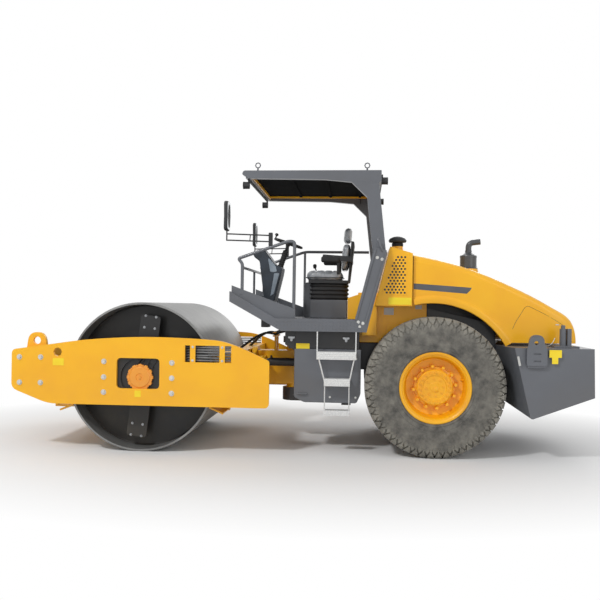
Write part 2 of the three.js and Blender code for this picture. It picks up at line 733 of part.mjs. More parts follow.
// Rim, deep dish and planetary hub; the outer side faces +Y.
function makeRim() {
  const disc = 85;
  const face = 165;
  const end = HUB_BORE_END - TRACK / 2;
  const profile = [
    [0, face],
    [180, face],
    [180, disc],
    [300, disc],
    [300, FLANGE_OUT - 32],
    [340, FLANGE_OUT],
    [RIM_FLANGE_R, FLANGE_OUT],
    [RIM_FLANGE_R, FLANGE_IN],
    [RIM_SEAT_R, FLANGE_IN],
    [RIM_SEAT_R, -FLANGE_IN],
    [RIM_FLANGE_R, -FLANGE_IN],
    [RIM_FLANGE_R, -FLANGE_OUT],
    [300, -FLANGE_OUT],
    [300, disc - 25],
    [110, disc - 25],
    [110, AXLE_END - TRACK / 2 + MOVE],
    [STUB_AXLE_R + PLAY, AXLE_END - TRACK / 2 + MOVE],
    [STUB_AXLE_R + PLAY, end],
    [0, end],
  ];
  return turned(profile, WHEEL_SIDES);
}

[-1, 1].forEach((side) => {
  const name = side < 0 ? "left" : "right";
  const wheel = body(WHEEL_X, (side * TRACK) / 2, TYRE_R);
  if (side < 0) wheel.rotation.z = Math.PI;
  addTo(wheel, "tyre_" + name, makeTyre(), rubber());
  addTo(wheel, "rim_" + name, makeRim(), yellow());
});

// ---------------------------------------------------------------- operator's floor
const BEND_X = HITCH_X - 132; // where the floor turns up towards the drum
const TIP_X = HITCH_X - 614;
const TIP_RISE = 275;
const RISE = TIP_RISE / (BEND_X - TIP_X);
const FLOOR_REAR = WHEEL_X - 813;
const BEAM_DEEP = 126;
const floorTop = (x) => FLOOR_TOP + Math.max(0, BEND_X - x) * RISE;
const onFloor = (height) => FLOOR_TOP + height;

function makeFloor() {
  const sheet = outline([
    [TIP_X, floorTop(TIP_X) - FLOOR_T],
    [TIP_X, floorTop(TIP_X)],
    [BEND_X, FLOOR_TOP],
    [FLOOR_REAR, FLOOR_TOP],
    [FLOOR_REAR, FLOOR_TOP - FLOOR_T],
    [BEND_X, FLOOR_TOP - FLOOR_T],
  ]);
  const beam = outline([
    [TIP_X, floorTop(TIP_X) - BEAM_DEEP + 20],
    [TIP_X, floorTop(TIP_X)],
    [BEND_X, FLOOR_TOP + 3],
    [FLOOR_REAR, FLOOR_TOP + 3],
    [FLOOR_REAR + 90, FLOOR_TOP - BEAM_DEEP],
    [BEND_X + 55, FLOOR_TOP - BEAM_DEEP],
  ]);
  const kick = outline([
    [TIP_X + 15, floorTop(TIP_X) - 20],
    [TIP_X + 15, floorTop(TIP_X) + 62],
    [HITCH_X + 66, FLOOR_TOP + 98],
    [HITCH_X + 66, FLOOR_TOP - 10],
    [BEND_X, FLOOR_TOP - 10],
  ]);
  return join(
    slab("side", sheet, -FLOOR_HALF, FLOOR_HALF),
    slabs(beam, FLOOR_HALF - 1, FLOOR_HALF + BEAM_T),
    slabs(kick, KICK_OUT - KICK_T, KICK_OUT),
  );
}

const LADDER_X = [HITCH_X + 300, HITCH_X + 695];
function makeLadder() {
  const y = [-(TANK_HALF + 122), -(TANK_HALF + 12)];
  const barY = [-(FLOOR_HALF + BEAM_T), -(FLOOR_HALF + 5)];
  const top = FLOOR_TOP - BEAM_DEEP - SEAT;
  const [x0, x1] = LADDER_X;
  const low = [x0 + 74, x1 - 56];
  const treads = [
    box([x0 - 5, x1 + 5], y, [965, 1045]),
    box(low, y, [695, 770]),
    box(low, y, [395, 448]),
  ];
  const uprights = [x0, x1].map((x) => box([x - 6, x + 6], barY, [970, top]));
  const mid = (barY[0] + barY[1]) / 2;
  const rods = [
    bar([x0 + 10, mid, 1000], [low[0] + 8, mid, 730], 7, 8),
    bar([x1 - 10, mid, 1000], [low[1] - 8, mid, 730], 7, 8),
    ...low.map((x, i) => bar([x + (i ? -8 : 8), mid, 740], [x + (i ? -8 : 8), mid, 400], 6, 8)),
  ];
  return join(treads, uprights, rods);
}

const KNEE_Z = onFloor(695);
const HAUNCH_Z = ROOF_TOP - 277;
const POST_X = WHEEL_X - 640; // the roll-over leg's front edge at the knee
const postFront = (z) => POST_X - (65 * (z - KNEE_Z)) / (HAUNCH_Z - KNEE_Z);

const RAIL_Y = KICK_OUT - KICK_T - TUBE_R - SEAT;
const RAIL_POST = HITCH_X - 493;
const RAIL_FRONT = { x: RAIL_POST - 48, z: onFloor(615) }; // where the top tube begins
const RAIL_SLOPE = 0.352;
const railZ = (x) => RAIL_FRONT.z + (x - RAIL_FRONT.x) * RAIL_SLOPE;
function makeLeftHandrail() {
  const post = RAIL_POST;
  const back = HITCH_X + 48;
  const points = [
    [post, -RAIL_Y, floorTop(post) + 40],
    [post, -RAIL_Y, RAIL_FRONT.z - 45],
    [RAIL_FRONT.x, -RAIL_Y, RAIL_FRONT.z],
    [back - 60, -RAIL_Y, railZ(back - 60)],
    [back, -RAIL_Y, railZ(back - 80)],
    [back, -RAIL_Y, FLOOR_TOP + SEAT],
  ];
  const side = pipe(points, TUBE_R);
  const half = RAIL_Y - TUBE_R - SEAT;
  const knees = onFloor(525); // the cross rail's height
  const across = bar([post, -RAIL_Y, knees], [post, half, knees], TUBE_R - 2, 8);
  const stay = bar([post, 0, floorTop(post) + 14], [post, 0, knees], TUBE_R - 4, 8);
  return join(side, across, stay);
}

function makeRightHandrail() {
  const post = RAIL_POST;
  const knee = HITCH_X + 25;
  const points = [
    [post, RAIL_Y, floorTop(post) + 40],
    [post, RAIL_Y, RAIL_FRONT.z - 45],
    [RAIL_FRONT.x, RAIL_Y, RAIL_FRONT.z],
    [knee, RAIL_Y, railZ(knee)],
    [postFront(railZ(knee)) - 9, RAIL_Y - 30, railZ(knee)],
  ];
  const side = pipe(points, TUBE_R);
  const middle = bar([knee, RAIL_Y, FLOOR_TOP + SEAT], [knee, RAIL_Y, railZ(knee) - 5], TUBE_R - 2, 8);
  return join(side, middle);
}

addTo(rearFrame, "platform", makeFloor(), grey());
addTo(rearFrame, "ladder", makeLadder(), aluminium());
addTo(rearFrame, "handrail_left", makeLeftHandrail(), grey());
addTo(rearFrame, "handrail_right", makeRightHandrail(), grey());

// ---------------------------------------------------------------- roll-over frame and canopy
const ROOF_LOW = ROOF_TOP - 122;
const ROOF_X = [HITCH_X - 512, WHEEL_X - 560];

// One leg: the upper post leans forward to the roof, the lower channel leans forward to the floor.
function makeRopsLeg() {
  const top = ROOF_LOW - SEAT;
  const post = outline([
    [POST_X, KNEE_Z],
    [postFront(HAUNCH_Z), HAUNCH_Z],
    [POST_X - 225, top],
    [POST_X + 55, top],
    [POST_X + 135, KNEE_Z],
  ]);
  const foot = FLOOR_REAR;
  const channel = outline([
    [foot + 2 * SEAT, FLOOR_TOP + 3],
    [foot + 90 + 2 * SEAT, FLOOR_TOP - BEAM_DEEP],
    [foot + 122, FLOOR_TOP - BEAM_DEEP],
    [POST_X + 145, KNEE_Z - 10],
    [POST_X + 138, KNEE_Z + 18],
    [POST_X + 12, KNEE_Z + 45],
  ]);
  return join(
    slab("side", post, -POST_OUT, -POST_IN),
    slab("side", channel, -(FLOOR_HALF + BEAM_T - 3), -(POST_IN + 20)),
  );
}

function makeCanopy() {
  const side = outline([
    [ROOF_X[0] + 15, ROOF_TOP - 6, 20],
    [ROOF_X[0], ROOF_TOP - 44, 10],
    [ROOF_X[0] + 66, ROOF_TOP - 87],
    [ROOF_X[1] - 590, ROOF_TOP - 96],
    [ROOF_X[1] - 300, ROOF_LOW],
    [ROOF_X[1], ROOF_LOW, 8],
    [ROOF_X[1], ROOF_TOP, 8],
  ]);
  const rails = slabs(side, ROOF_HALF - 60, ROOF_HALF);
  const wide = [-ROOF_HALF + 5, ROOF_HALF - 5];
  const sheet = box([ROOF_X[0] + 25, ROOF_X[1] - 5], wide, [ROOF_TOP - 30, ROOF_TOP - 7]);
  const front = box([ROOF_X[0] + 40, ROOF_X[0] + 90], wide, [ROOF_TOP - 87, ROOF_TOP - 10]);
  const rear = box([ROOF_X[1] - 60, ROOF_X[1] - 1], wide, [ROOF_LOW + 10, ROOF_TOP - 10]);
  const eyes = [ROOF_X[0] + 163, ROOF_X[1] - 148].flatMap((x) =>
    [-1, 1].map((end) => {
      const ring = new THREE.TorusGeometry(26, 6, 4, 8);
      ring.rotateX(Math.PI / 2);
      const y = end * (ROOF_HALF - 30);
      ring.translate(x, y, ROOF_TOP + 52);
      const stem = bar([x, y, ROOF_TOP - 20], [x, y, ROOF_TOP + 27], 9, 8);
      return join(solid(ring), stem);
    }),
  );
  return join(rails, sheet, front, rear, eyes);
}

// Two work lamps on one bar.
function makeLamps(x, facing, z, under) {
  const bars = box([x - 8, x + 8], [-(ROOF_HALF - 90), ROOF_HALF - 90], under);
  const lamps = [-1, 1].map((end) => {
    const y = end * (ROOF_HALF - 90);
    const can = bar([x - facing * 8, y, z], [x + facing * 55, y, z], 36, 12);
    return join(can, box([x - 8, x + 8], [y - 12, y + 12], [z, under[1]]));
  });
  return join(bars, lamps);
}

addPair(rearFrame, "rops_leg", makeRopsLeg(), grey);
addTo(rearFrame, "canopy", makeCanopy(), grey());
const lampTop = ROOF_TOP - 87 - SEAT;
const frontLamps = makeLamps(ROOF_X[0] + 60, -1, ROOF_TOP - 147, [lampTop - 18, lampTop]);
const rearLampX = ROOF_X[1] + 8 + SEAT;
const rearLamps = makeLamps(rearLampX, 1, ROOF_TOP - 97, [ROOF_TOP - 62, ROOF_TOP - 32]);
addTo(rearFrame, "work_lights_front", frontLamps, trim());
addTo(rearFrame, "work_lights_rear", rearLamps, trim());

// ---------------------------------------------------------------- console and steering wheel
const COLUMN_TILT = THREE.MathUtils.degToRad(18);
const COLUMN_FOOT = [HITCH_X - 190, onFloor(577)];
const COLUMN_LENGTH = 285;
const CONSOLE_HALF = 170;
const along = (d) => [
  COLUMN_FOOT[0] + d * Math.sin(COLUMN_TILT),
  0,
  COLUMN_FOOT[1] + d * Math.cos(COLUMN_TILT),
];

function makeConsole() {
  const x = (dx) => HITCH_X + dx;
  const seat = 40;
  const step = [seat * Math.cos(COLUMN_TILT), seat * Math.sin(COLUMN_TILT)];
  const shape = outline([
    [x(-345), floorTop(x(-345)) + SEAT],
    [x(-262), floorTop(x(-262)) + SEAT],
    [x(-165), onFloor(485), 20],
    [COLUMN_FOOT[0] + step[0], COLUMN_FOOT[1] - step[1]],
    [COLUMN_FOOT[0] - step[0], COLUMN_FOOT[1] + step[1]],
    [x(-372), onFloor(783), 12],
    [x(-410), onFloor(775), 20],
    [x(-488), onFloor(710), 20],
    [x(-470), onFloor(675), 20],
    [x(-412), onFloor(635)],
  ]);
  return slab("side", shape, -CONSOLE_HALF, CONSOLE_HALF);
}

function makeColumn() {
  const boot = bar(along(SEAT), along(190), 34, 16);
  const shaft = bar(along(180), along(COLUMN_LENGTH), 15, 16);
  return join(boot, shaft);
}

const WHEEL_RING_R = 160;
function makeSteeringWheel() {
  const ring = solid(new THREE.TorusGeometry(WHEEL_RING_R, 13, 6, 18));
  const hub = bar([0, 0, -42], [0, 0, 14], 30, 16);
  const spokes = [0, 120, 240].map((turn) => {
    const a = THREE.MathUtils.degToRad(turn);
    return bar([0, 0, -14], [WHEEL_RING_R * Math.cos(a), WHEEL_RING_R * Math.sin(a), 0], 9, 8);
  });
  const knob = [[-WHEEL_RING_R, 0, 0], [-WHEEL_RING_R, 0, 60]];
  const grip = [bar(knob[0], knob[1], 9, 8), bar([-WHEEL_RING_R, 0, 38], [-WHEEL_RING_R, 0, 72], 20, 12)];
  const bore = bar([0, 0, -60], [0, 0, 0], 15 + PLAY, 16);
  return cut(join(ring, hub, spokes, grip), bore);
}

addTo(rearFrame, "console", makeConsole(), plastic());
addTo(rearFrame, "steering_column", makeColumn(), trim());
const wheelPlace = along(COLUMN_LENGTH + PLAY);
const steering = body(...wheelPlace);
steering.rotation.y = COLUMN_TILT;
addTo(steering, "steering_wheel", makeSteeringWheel(), trim());

// ---------------------------------------------------------------- seat
const SEAT_X = HITCH_X + 110; // front of the seat cushion
const SEAT_HALF = 245;
const SUSPENSION_LOW = onFloor(207);
const SUSPENSION_TOP = onFloor(391);
const CUSHION_LOW = onFloor(425);
const CUSHION_TOP = onFloor(530);
const BACK_TOP = onFloor(860);
// The front face of the seat's back shell.
const shellFront = (z) => SEAT_X + 480 + (z - CUSHION_LOW) * 0.073;
function makeSuspension() {
  const folds = 4;
  const pitch = (SUSPENSION_TOP - SUSPENSION_LOW) / folds;
  const corners = [];
  for (let i = 0; i <= folds; i++) {
    corners.push([SEAT_X + 62, SUSPENSION_LOW + i * pitch]);
    if (i < folds) corners.push([SEAT_X + 46, SUSPENSION_LOW + (i + 0.5) * pitch]);
  }
  const front = corners.map(([x, z]) => [x, z + SEAT]);
  const back = corners.map(([x, z]) => [2 * (SEAT_X + 268) - x, z + SEAT]).reverse();
  return slab("side", outline([...front, ...back]), -205, 205);
}

function makeSeatFrame() {
  const panZ = [SUSPENSION_TOP + 2 * SEAT, CUSHION_LOW - SEAT];
  const pan = box([SEAT_X + 40, SEAT_X + 480], [-220, 220], panZ);
  const shell = outline([
    [SEAT_X + 455, CUSHION_LOW - 20],
    [SEAT_X + 500, CUSHION_LOW - 25, 20],
    [SEAT_X + 550, BACK_TOP, 30],
    [shellFront(BACK_TOP), BACK_TOP],
    [shellFront(CUSHION_LOW), CUSHION_LOW],
  ]);
  const rests = [-1, 1].map((side) => {
    const y = side * (SEAT_HALF + 32);
    const pad = slab(
      "side",
      outline([
        [SEAT_X + 200, onFloor(655), 12],
        [SEAT_X + 530, onFloor(625), 12],
        [SEAT_X + 530, onFloor(685), 12],
        [SEAT_X + 200, onFloor(707), 12],
      ]),
      y - 27,
      y + 27,
    );
    const reach = [Math.min(y, 0), Math.max(y, 0)];
    const link = box([SEAT_X + 500, SEAT_X + 525], reach, [onFloor(635), onFloor(670)]);
    return join(pad, link);
  });
  return join(pan, slab("side", shell, -225, 225), rests);
}

function makeSeatCushion() {
  const shape = outline([
    [SEAT_X, CUSHION_LOW, 20],
    [SEAT_X, CUSHION_TOP - 15, 30],
    [SEAT_X + 200, CUSHION_TOP, 60],
    [SEAT_X + 395, CUSHION_TOP - 10, 20],
    [SEAT_X + 440, CUSHION_LOW, 10],
  ]);
  return slab("side", shape, -SEAT_HALF, SEAT_HALF);
}

function makeSeatBack() {
  const x = SEAT_X + 405;
  const rest = outline([
    [x - 5, CUSHION_TOP],
    [shellFront(CUSHION_TOP) - SEAT, CUSHION_TOP],
    [shellFront(BACK_TOP - 3) - SEAT, BACK_TOP - 3],
    [x + 35, BACK_TOP + 5, 30],
    [x + 5, BACK_TOP - 185, 60],
  ]);
  const head = outline([
    [x + 40, BACK_TOP - 10],
    [x + 102, BACK_TOP - 10],
    [x + 112, BACK_TOP + 160, 30],
    [x + 60, BACK_TOP + 163, 30],
  ]);
  return join(slab("side", rest, -SEAT_HALF, SEAT_HALF), slab("side", head, -140, 140));
}

const seatBase = box([SEAT_X + 60, SEAT_X + 472], [-200, 200], [FLOOR_TOP + SEAT, SUSPENSION_LOW]);
addTo(rearFrame, "seat_base", seatBase, grey());
addTo(rearFrame, "seat_suspension", makeSuspension(), trim());
addTo(rearFrame, "seat_frame", makeSeatFrame(), trim());
addTo(rearFrame, "seat_cushion", makeSeatCushion(), trim());
addTo(rearFrame, "seat_back", makeSeatBack(), trim());

function makeLeverBox() {
  const shape = outline([
    [SEAT_X - 45, FLOOR_TOP + SEAT],
    [SEAT_X - 45, onFloor(415), 30],
    [SEAT_X + 440, onFloor(415), 30],
    [SEAT_X + 440, FLOOR_TOP + SEAT],
  ]);
  return slab("side", shape, 330, 470);
}
addTo(rearFrame, "lever_box", makeLeverBox(), grey());

// ---------------------------------------------------------------- mirrors
function makeMirror() {
  const rail = RAIL_Y;
  const foot = HITCH_X - 205;
  const head = [HITCH_X - 635, -1005];
  const lift = TUBE_R * Math.hypot(1, RAIL_SLOPE) + SEAT;
  const block = slab(
    "side",
    outline([
      [foot - 28, railZ(foot - 28) + lift],
      [foot + 28, railZ(foot + 28) + lift],
      [foot + 28, onFloor(887)],
      [foot - 28, onFloor(887)],
    ]),
    -(rail + 20),
    -(rail - 20),
  );
  const levels = [onFloor(793), onFloor(857)];
  const arms = levels.map((z) => {
    const course = [[foot, -rail, z], [head[0] + 40, head[1], z], [head[0], head[1], z + 8]];
    return pipe(course, 7, 40, 6);
  });
  const stem = bar([...head, levels[0] - 3], [...head, levels[1] + 68], 8, 8);
  const tie = bar([foot - 215, -(rail + 70), levels[0]], [foot - 215, -(rail + 70), levels[1]], 5, 6);
  const glass = outline([
    [-90, onFloor(887), 40],
    [90, onFloor(887), 40],
    [90, onFloor(1190), 60],
    [-90, onFloor(1190), 60],
  ]);
  const shell = slab("front", glass, head[0] - 22, head[0] + 18, 4).translate([0, head[1], 0]);
  return join(block, arms, stem, tie, shell);
}
addPair(rearFrame, "mirror", makeMirror(), trim);

// ---------------------------------------------------------------- engine cowl
const COWL_REAR = WHEEL_X - 223;
const COWL_TOP = onFloor(765);
const PRE_CLEANER = [WHEEL_X - 370, -450];
function makeCowl() {
  // grow is 0 for the outside, and the wall's thickness for the inside, which opens to the rear.
  const upper = (grow) => {
    const foot = onFloor(146);
    const rear = COWL_REAR + (grow ? 50 : 0);
    const low = grow ? HOOD_LOW - 40 : foot;
    return outline([
      [WHEEL_X - 609 + grow, low],
      [WHEEL_X - 609 + grow, foot + (grow ? 20 : 0)],
      [WHEEL_X - 458 + grow, COWL_TOP - grow],
      [rear, COWL_TOP - 68 - grow],
      [rear, low],
    ]);
  };
  const lower = (grow) => {
    const low = HOOD_LOW + 45 - (grow ? 100 : 0);
    const rear = COWL_REAR + (grow ? 50 : 0);
    return outline([
      [WHEEL_X - 895 + grow, FLOOR_TOP + SEAT + grow],
      [WHEEL_X - 895 + grow, onFloor(225) - grow / 2],
      [WHEEL_X - 765 + grow, onFloor(270) - grow],
      [rear, onFloor(270) - grow],
      [rear, low],
      [WHEEL_X - 740 + grow, low],
      [WHEEL_X - 740 + grow, FLOOR_TOP + SEAT + grow],
    ]);
  };
  const [x, y] = PRE_CLEANER;
  const outside = join(
    slab("side", upper(0), -COWL_HALF, COWL_HALF),
    slab("side", lower(0), -600, 600),
    bar([x, y, COWL_TOP - 60], [x, y, COWL_TOP], 60, 12),
  );
  const inside = [
    slab("side", upper(COWL_WALL), -COWL_HALF + COWL_WALL, COWL_HALF - COWL_WALL),
    slab("side", lower(COWL_WALL), -600 + COWL_WALL, 600 - COWL_WALL),
  ];
  return cut(outside, inside);
}

function makePreCleaner() {
  const profile = [
    [0, COWL_TOP + SEAT],
    [52, COWL_TOP + SEAT],
    [50, COWL_TOP + 65],
    [92, COWL_TOP + 72],
    [96, COWL_TOP + 86],
    [80, COWL_TOP + 112],
    [40, COWL_TOP + 126],
    [0, COWL_TOP + 130],
  ];
  return turnedUp(profile, 16, PRE_CLEANER[0], PRE_CLEANER[1]);
}
addTo(rearFrame, "engine_cowl", makeCowl(), yellow());
addTo(rearFrame, "pre_cleaner", makePreCleaner(), trim());

// ---------------------------------------------------------------- hood
const HOOD_X = [COWL_REAR + 12, WHEEL_X + 1465];
const MUFFLER = [WHEEL_X + 412, -250];
const MUFFLER_FOOT = 1950;

// Height of the hood's top above the ground, along its length.
const hoodTop = new THREE.SplineCurve(
  [
    [-215, 2062],
    [266, 1953],
    [745, 1769],
    [1255, 1510],
    [1390, 1426],
    [1448, 1345],
    [1465, 1290],
  ].map(([dx, z]) => new THREE.Vector2(WHEEL_X + dx, z)),
);

function hoodShape(inset, front, low) {
  const rings = hoodTop.getPoints(9).map(({ x, y }, i, all) => {
    const last = i === all.length - 1;
    const at = i === 0 ? front : x - (last ? inset : inset * 0.4 * (i / all.length));
    const narrow = 60 * Math.max(0, (x - WHEEL_X - 1150) / 315) ** 2;
    const half = HOOD_HALF - inset - narrow;
    const top = y - inset;
    const edge = 55 - inset * 0.4;
    return [
      [at, -half, low],
      [at, half, low],
      [at, half, top - edge],
      [at, half - edge, top],
      [at, -half + edge, top],
      [at, -half, top - edge],
    ];
  });
  return loft(rings);
}

function makeHood() {
  const outside = hoodShape(0, HOOD_X[0], HOOD_LOW);
  const inside = hoodShape(HOOD_WALL, HOOD_X[0] - 30, HOOD_LOW - 40);
  const arch = bar([WHEEL_X, -900, TYRE_R], [WHEEL_X, 900, TYRE_R], ARCH_R, 36);
  const band = new THREE.Shape();
  const from = Math.asin((HOOD_LOW + 1 - TYRE_R) / (ARCH_R + 80));
  const to = Math.acos((HOOD_X[0] - WHEEL_X) / ARCH_R) - 0.015;
  band.absarc(WHEEL_X, TYRE_R, ARCH_R + 80, from, to, false);
  band.absarc(WHEEL_X, TYRE_R, ARCH_R + 2, to, from, true);
  const flare = slabs(band, HOOD_HALF - 5, HOOD_HALF + 22, 8);
  const below = box([WHEEL_X - 1000, WHEEL_X + 1600], [-900, 900], [HOOD_LOW - 300, HOOD_LOW]);
  const boss = bar([...MUFFLER, MUFFLER_FOOT - 90], [...MUFFLER, MUFFLER_FOOT], 98, 12);
  const shell = join(cut(outside, inside), flare, boss);
  const hinge = [WHEEL_X + HINGE_X, HINGE_Z];
  const lug = outline([
    [hinge[0] - 26, hinge[1] - 26, 20],
    [hinge[0] - 26, hinge[1] + 26, 20],
    [HOOD_X[1] - 12, hinge[1] + 26],
    [HOOD_X[1] - 12, hinge[1] - 26],
  ]);
  const lugs = slabs(lug, EAR[1] + MOVE, EAR[1] + MOVE + 20);
  const pins = [-1, 1].map((side) => {
    const ends = [EAR[0] - 2, EAR[1] + MOVE + 10].map((y) => [hinge[0], side * y, hinge[1]]);
    return bar(...ends, HINGE_PIN_R, 16);
  });
  const notches = boxes(
    [hinge[0] + 15, HOOD_X[1] + 5],
    [EAR[0] - MOVE, EAR[1] + MOVE],
    [HOOD_LOW - 10, hinge[1] + 45],
  );
  return join(cut(shell, arch, below, notches), lugs, pins);
}

function makeMuffler() {
  const z = MUFFLER_FOOT + SEAT;
  const can = turnedUp(
    [
      [0, z],
      [92, z],
      [92, z + 130],
      [34, z + 168],
      [34, z + 200],
      [0, z + 200],
    ],
    16,
    MUFFLER[0],
    MUFFLER[1],
  );
  const pipeOut = pipe(
    [
      [...MUFFLER, z + 160],
      [...MUFFLER, z + 275],
      [MUFFLER[0] + 125, MUFFLER[1], z + 290],
    ],
    33,
    90,
    12,
  );
  return join(can, pipeOut);
}
addTo(hoodBody, "hood", makeHood(), yellow());
addTo(hoodBody, "muffler", makeMuffler(), grey());

export default machine;
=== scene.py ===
# %% [markdown]
# # A single-drum road roller
# The machine rolls soil flat. A smooth steel drum turns in a yellow frame in front, two lugged
# tyres push from behind, and the two halves are hinged in the middle so that the machine can steer.
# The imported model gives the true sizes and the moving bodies. This script adds what an eye looks
# for: paint, rubber, tread, bolts, seams, hoses and cushions.

# %% Load the frame
import json
import math

import bmesh
import bpy
from mathutils import Matrix, Vector


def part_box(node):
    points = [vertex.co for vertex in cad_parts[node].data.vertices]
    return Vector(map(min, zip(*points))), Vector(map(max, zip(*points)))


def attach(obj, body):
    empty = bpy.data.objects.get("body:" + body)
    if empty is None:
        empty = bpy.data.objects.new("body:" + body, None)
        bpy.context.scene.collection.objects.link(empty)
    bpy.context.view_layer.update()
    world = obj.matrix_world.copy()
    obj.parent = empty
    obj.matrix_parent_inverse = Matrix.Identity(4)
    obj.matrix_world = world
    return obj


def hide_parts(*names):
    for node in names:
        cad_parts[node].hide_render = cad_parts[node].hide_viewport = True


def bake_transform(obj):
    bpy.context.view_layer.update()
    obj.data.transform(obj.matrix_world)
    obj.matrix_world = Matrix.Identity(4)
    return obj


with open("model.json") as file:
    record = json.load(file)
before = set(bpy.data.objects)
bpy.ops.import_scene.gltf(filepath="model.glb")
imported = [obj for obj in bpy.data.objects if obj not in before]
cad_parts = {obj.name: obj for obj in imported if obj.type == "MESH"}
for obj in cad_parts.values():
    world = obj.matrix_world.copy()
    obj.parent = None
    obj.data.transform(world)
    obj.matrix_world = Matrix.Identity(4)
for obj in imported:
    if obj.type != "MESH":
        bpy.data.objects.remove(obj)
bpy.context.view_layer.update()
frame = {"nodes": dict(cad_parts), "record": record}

nodes = frame["nodes"]
body_of_node = {
    node: body
    for body, members in frame["record"]["behaviour"]["bodies"].items()
    for node in members
}
SIDES = ((-1, "left"), (1, "right"))
slot_of_node = {part["node"]: part["material_slot"] for part in frame["record"]["subparts"]}

# %% [markdown]
# ## Camera
# The machine is seen from its left side, from a little way off and about chest height. A long lens
# keeps the side almost flat, and a small shift places it in the picture without turning the camera.

# %% Camera
EYE = Vector((0.64, -8.5604, 1.5101))
YAW, PITCH, ROLL = math.radians(4.2358), math.radians(-0.04), math.radians(0.835)
forward = Vector((-math.sin(YAW), math.cos(YAW), math.tan(PITCH))).normalized()
across = forward.cross(Vector((0, 0, 1))).normalized()
upward = across.cross(forward)
right = across * math.cos(ROLL) + upward * math.sin(ROLL)
top = upward * math.cos(ROLL) - across * math.sin(ROLL)
lens = bpy.data.cameras.new("camera")
lens.sensor_width = 36
lens.lens = 44.913
lens.shift_x, lens.shift_y = -0.0104, 0.0106
lens.clip_end = 200
camera = bpy.data.objects.new("camera", lens)
camera.matrix_world = Matrix(
    (
        (right.x, top.x, -forward.x, EYE.x),
        (right.y, top.y, -forward.y, EYE.y),
        (right.z, top.z, -forward.z, EYE.z),
        (0, 0, 0, 1),
    )
)
scene = bpy.context.scene
scene.collection.objects.link(camera)
scene.camera = camera
scene.view_settings.view_transform = "Standard"
print("camera at", tuple(round(v, 2) for v in EYE))

# %% [markdown]
# ## Shader maths in Python
# A shader is a tree of small nodes, and a long chain of Math nodes is hard to read. One class wraps
# a socket, so that `1 - dust * 0.4` adds the Math nodes itself. One method adds any other node.


# %% A socket that Python's operators work on
class Socket:
    def __init__(self, finish, link):
        self.finish, self.link = finish, link

    def maths(self, operation, first, second=None, clamp=False):
        inputs = {0: first} if second is None else {0: first, 1: second}
        return self.finish.node(
            "ShaderNodeMath", {"operation": operation, "use_clamp": clamp}, inputs
        )

    def __add__(self, other):
        return self.maths("ADD", self, other)

    def __sub__(self, other):
        return self.maths("SUBTRACT", self, other)

    def __mul__(self, other):
        return self.maths("MULTIPLY", self, other)

    def __truediv__(self, other):
        return self.maths("DIVIDE", self, other)

    def __rsub__(self, other):
        return self.maths("SUBTRACT", other, self)

    __radd__, __rmul__ = __add__, __mul__

    def ramp(self, low, high):
        """0 below low and 1 above high, with a straight rise between."""
        return self.maths("MULTIPLY", self - low, 1 / (high - low), clamp=True)


class Tree:
    """A tree of nodes, added one call at a time."""

    def __init__(self, tree):
        self.tree = tree

    def node(self, kind, settings=None, inputs=None, out=0):
        made = self.tree.nodes.new(kind)
        for key, value in (settings or {}).items():
            setattr(made, key, value)
        for key, value in (inputs or {}).items():
            self.put(made.inputs[key], value)
        return made if out is None else Socket(self, made.outputs[out])

    def put(self, socket, value):
        if isinstance(value, Socket):
            self.tree.links.new(value.link, socket)
        else:
            socket.default_value = (
                *value, 1
            ) if socket.type == "RGBA" and len(value) == 3 else value


class Finish(Tree):
    """A material, whose patterns are placed by the piece's own coordinates. Its slot argument is
    not used.
    """

    def __init__(self, name, slot=None):
        self.material = bpy.data.materials.new(name)
        self.material.use_nodes = True
        super().__init__(self.material.node_tree)
        self.shader = self.tree.nodes["Principled BSDF"]
        self.place = self.node("ShaderNodeTexCoord", out="Object")

    def set(self, **values):
        for key, value in values.items():
            self.put(self.shader.inputs[key.replace("_", " ").title().replace("Ior", "IOR")], value)
        return self

    def scaled(self, scale, turn=(0, 0, 0), shift=(0, 0, 0)):
        inputs = {"Vector": self.place, "Scale": scale, "Rotation": turn, "Location": shift}
        return self.node("ShaderNodeMapping", None, inputs)

    def noise(self, scale, detail=2.0, roughness=0.5, at=None):
        inputs = {
            "Vector": at or self.place, "Scale": scale, "Detail": detail, "Roughness": roughness
        }
        return self.node("ShaderNodeTexNoise", None, inputs)

    def cells(self, scale, at=None, feature="F1"):
        inputs = {"Vector": at or self.place, "Scale": scale}
        return self.node("ShaderNodeTexVoronoi", {"feature": feature}, inputs)

    def axis(self, name):
        return self.node("ShaderNodeSeparateXYZ", None, {"Vector": self.place}, out=name)

    def mix(self, factor, first, second):
        inputs = {"Factor": factor, 6: first, 7: second}
        return self.node("ShaderNodeMix", {"data_type": "RGBA"}, inputs, out=2)

    def bump(self, height, distance, strength=1.0):
        inputs = {"Height": height, "Distance": distance, "Strength": strength}
        return self.set(Normal=self.node("ShaderNodeBump", None, inputs))


def srgb(red, green, blue):
    """A colour given as 0 to 255 on a screen, in the linear light that shaders use."""
    return tuple(
        v / 12.92 if v <= 0.04045 else ((v + 0.055) / 1.055) ** 2.4
        for v in (red / 255, green / 255, blue / 255)
    )


print("shader helpers are ready")

# %% [markdown]
# ## Paint
# Sprayed enamel isn't one colour. It carries a faint orange-peel ripple, its gloss changes with
# handling, and dust gathers low down and in broad soft patches. Each paint is the same recipe with
# its own colour, so one function makes them all, with the dust as a mask on height and noise.

# %% Paints
DUST = srgb(150, 138, 118)


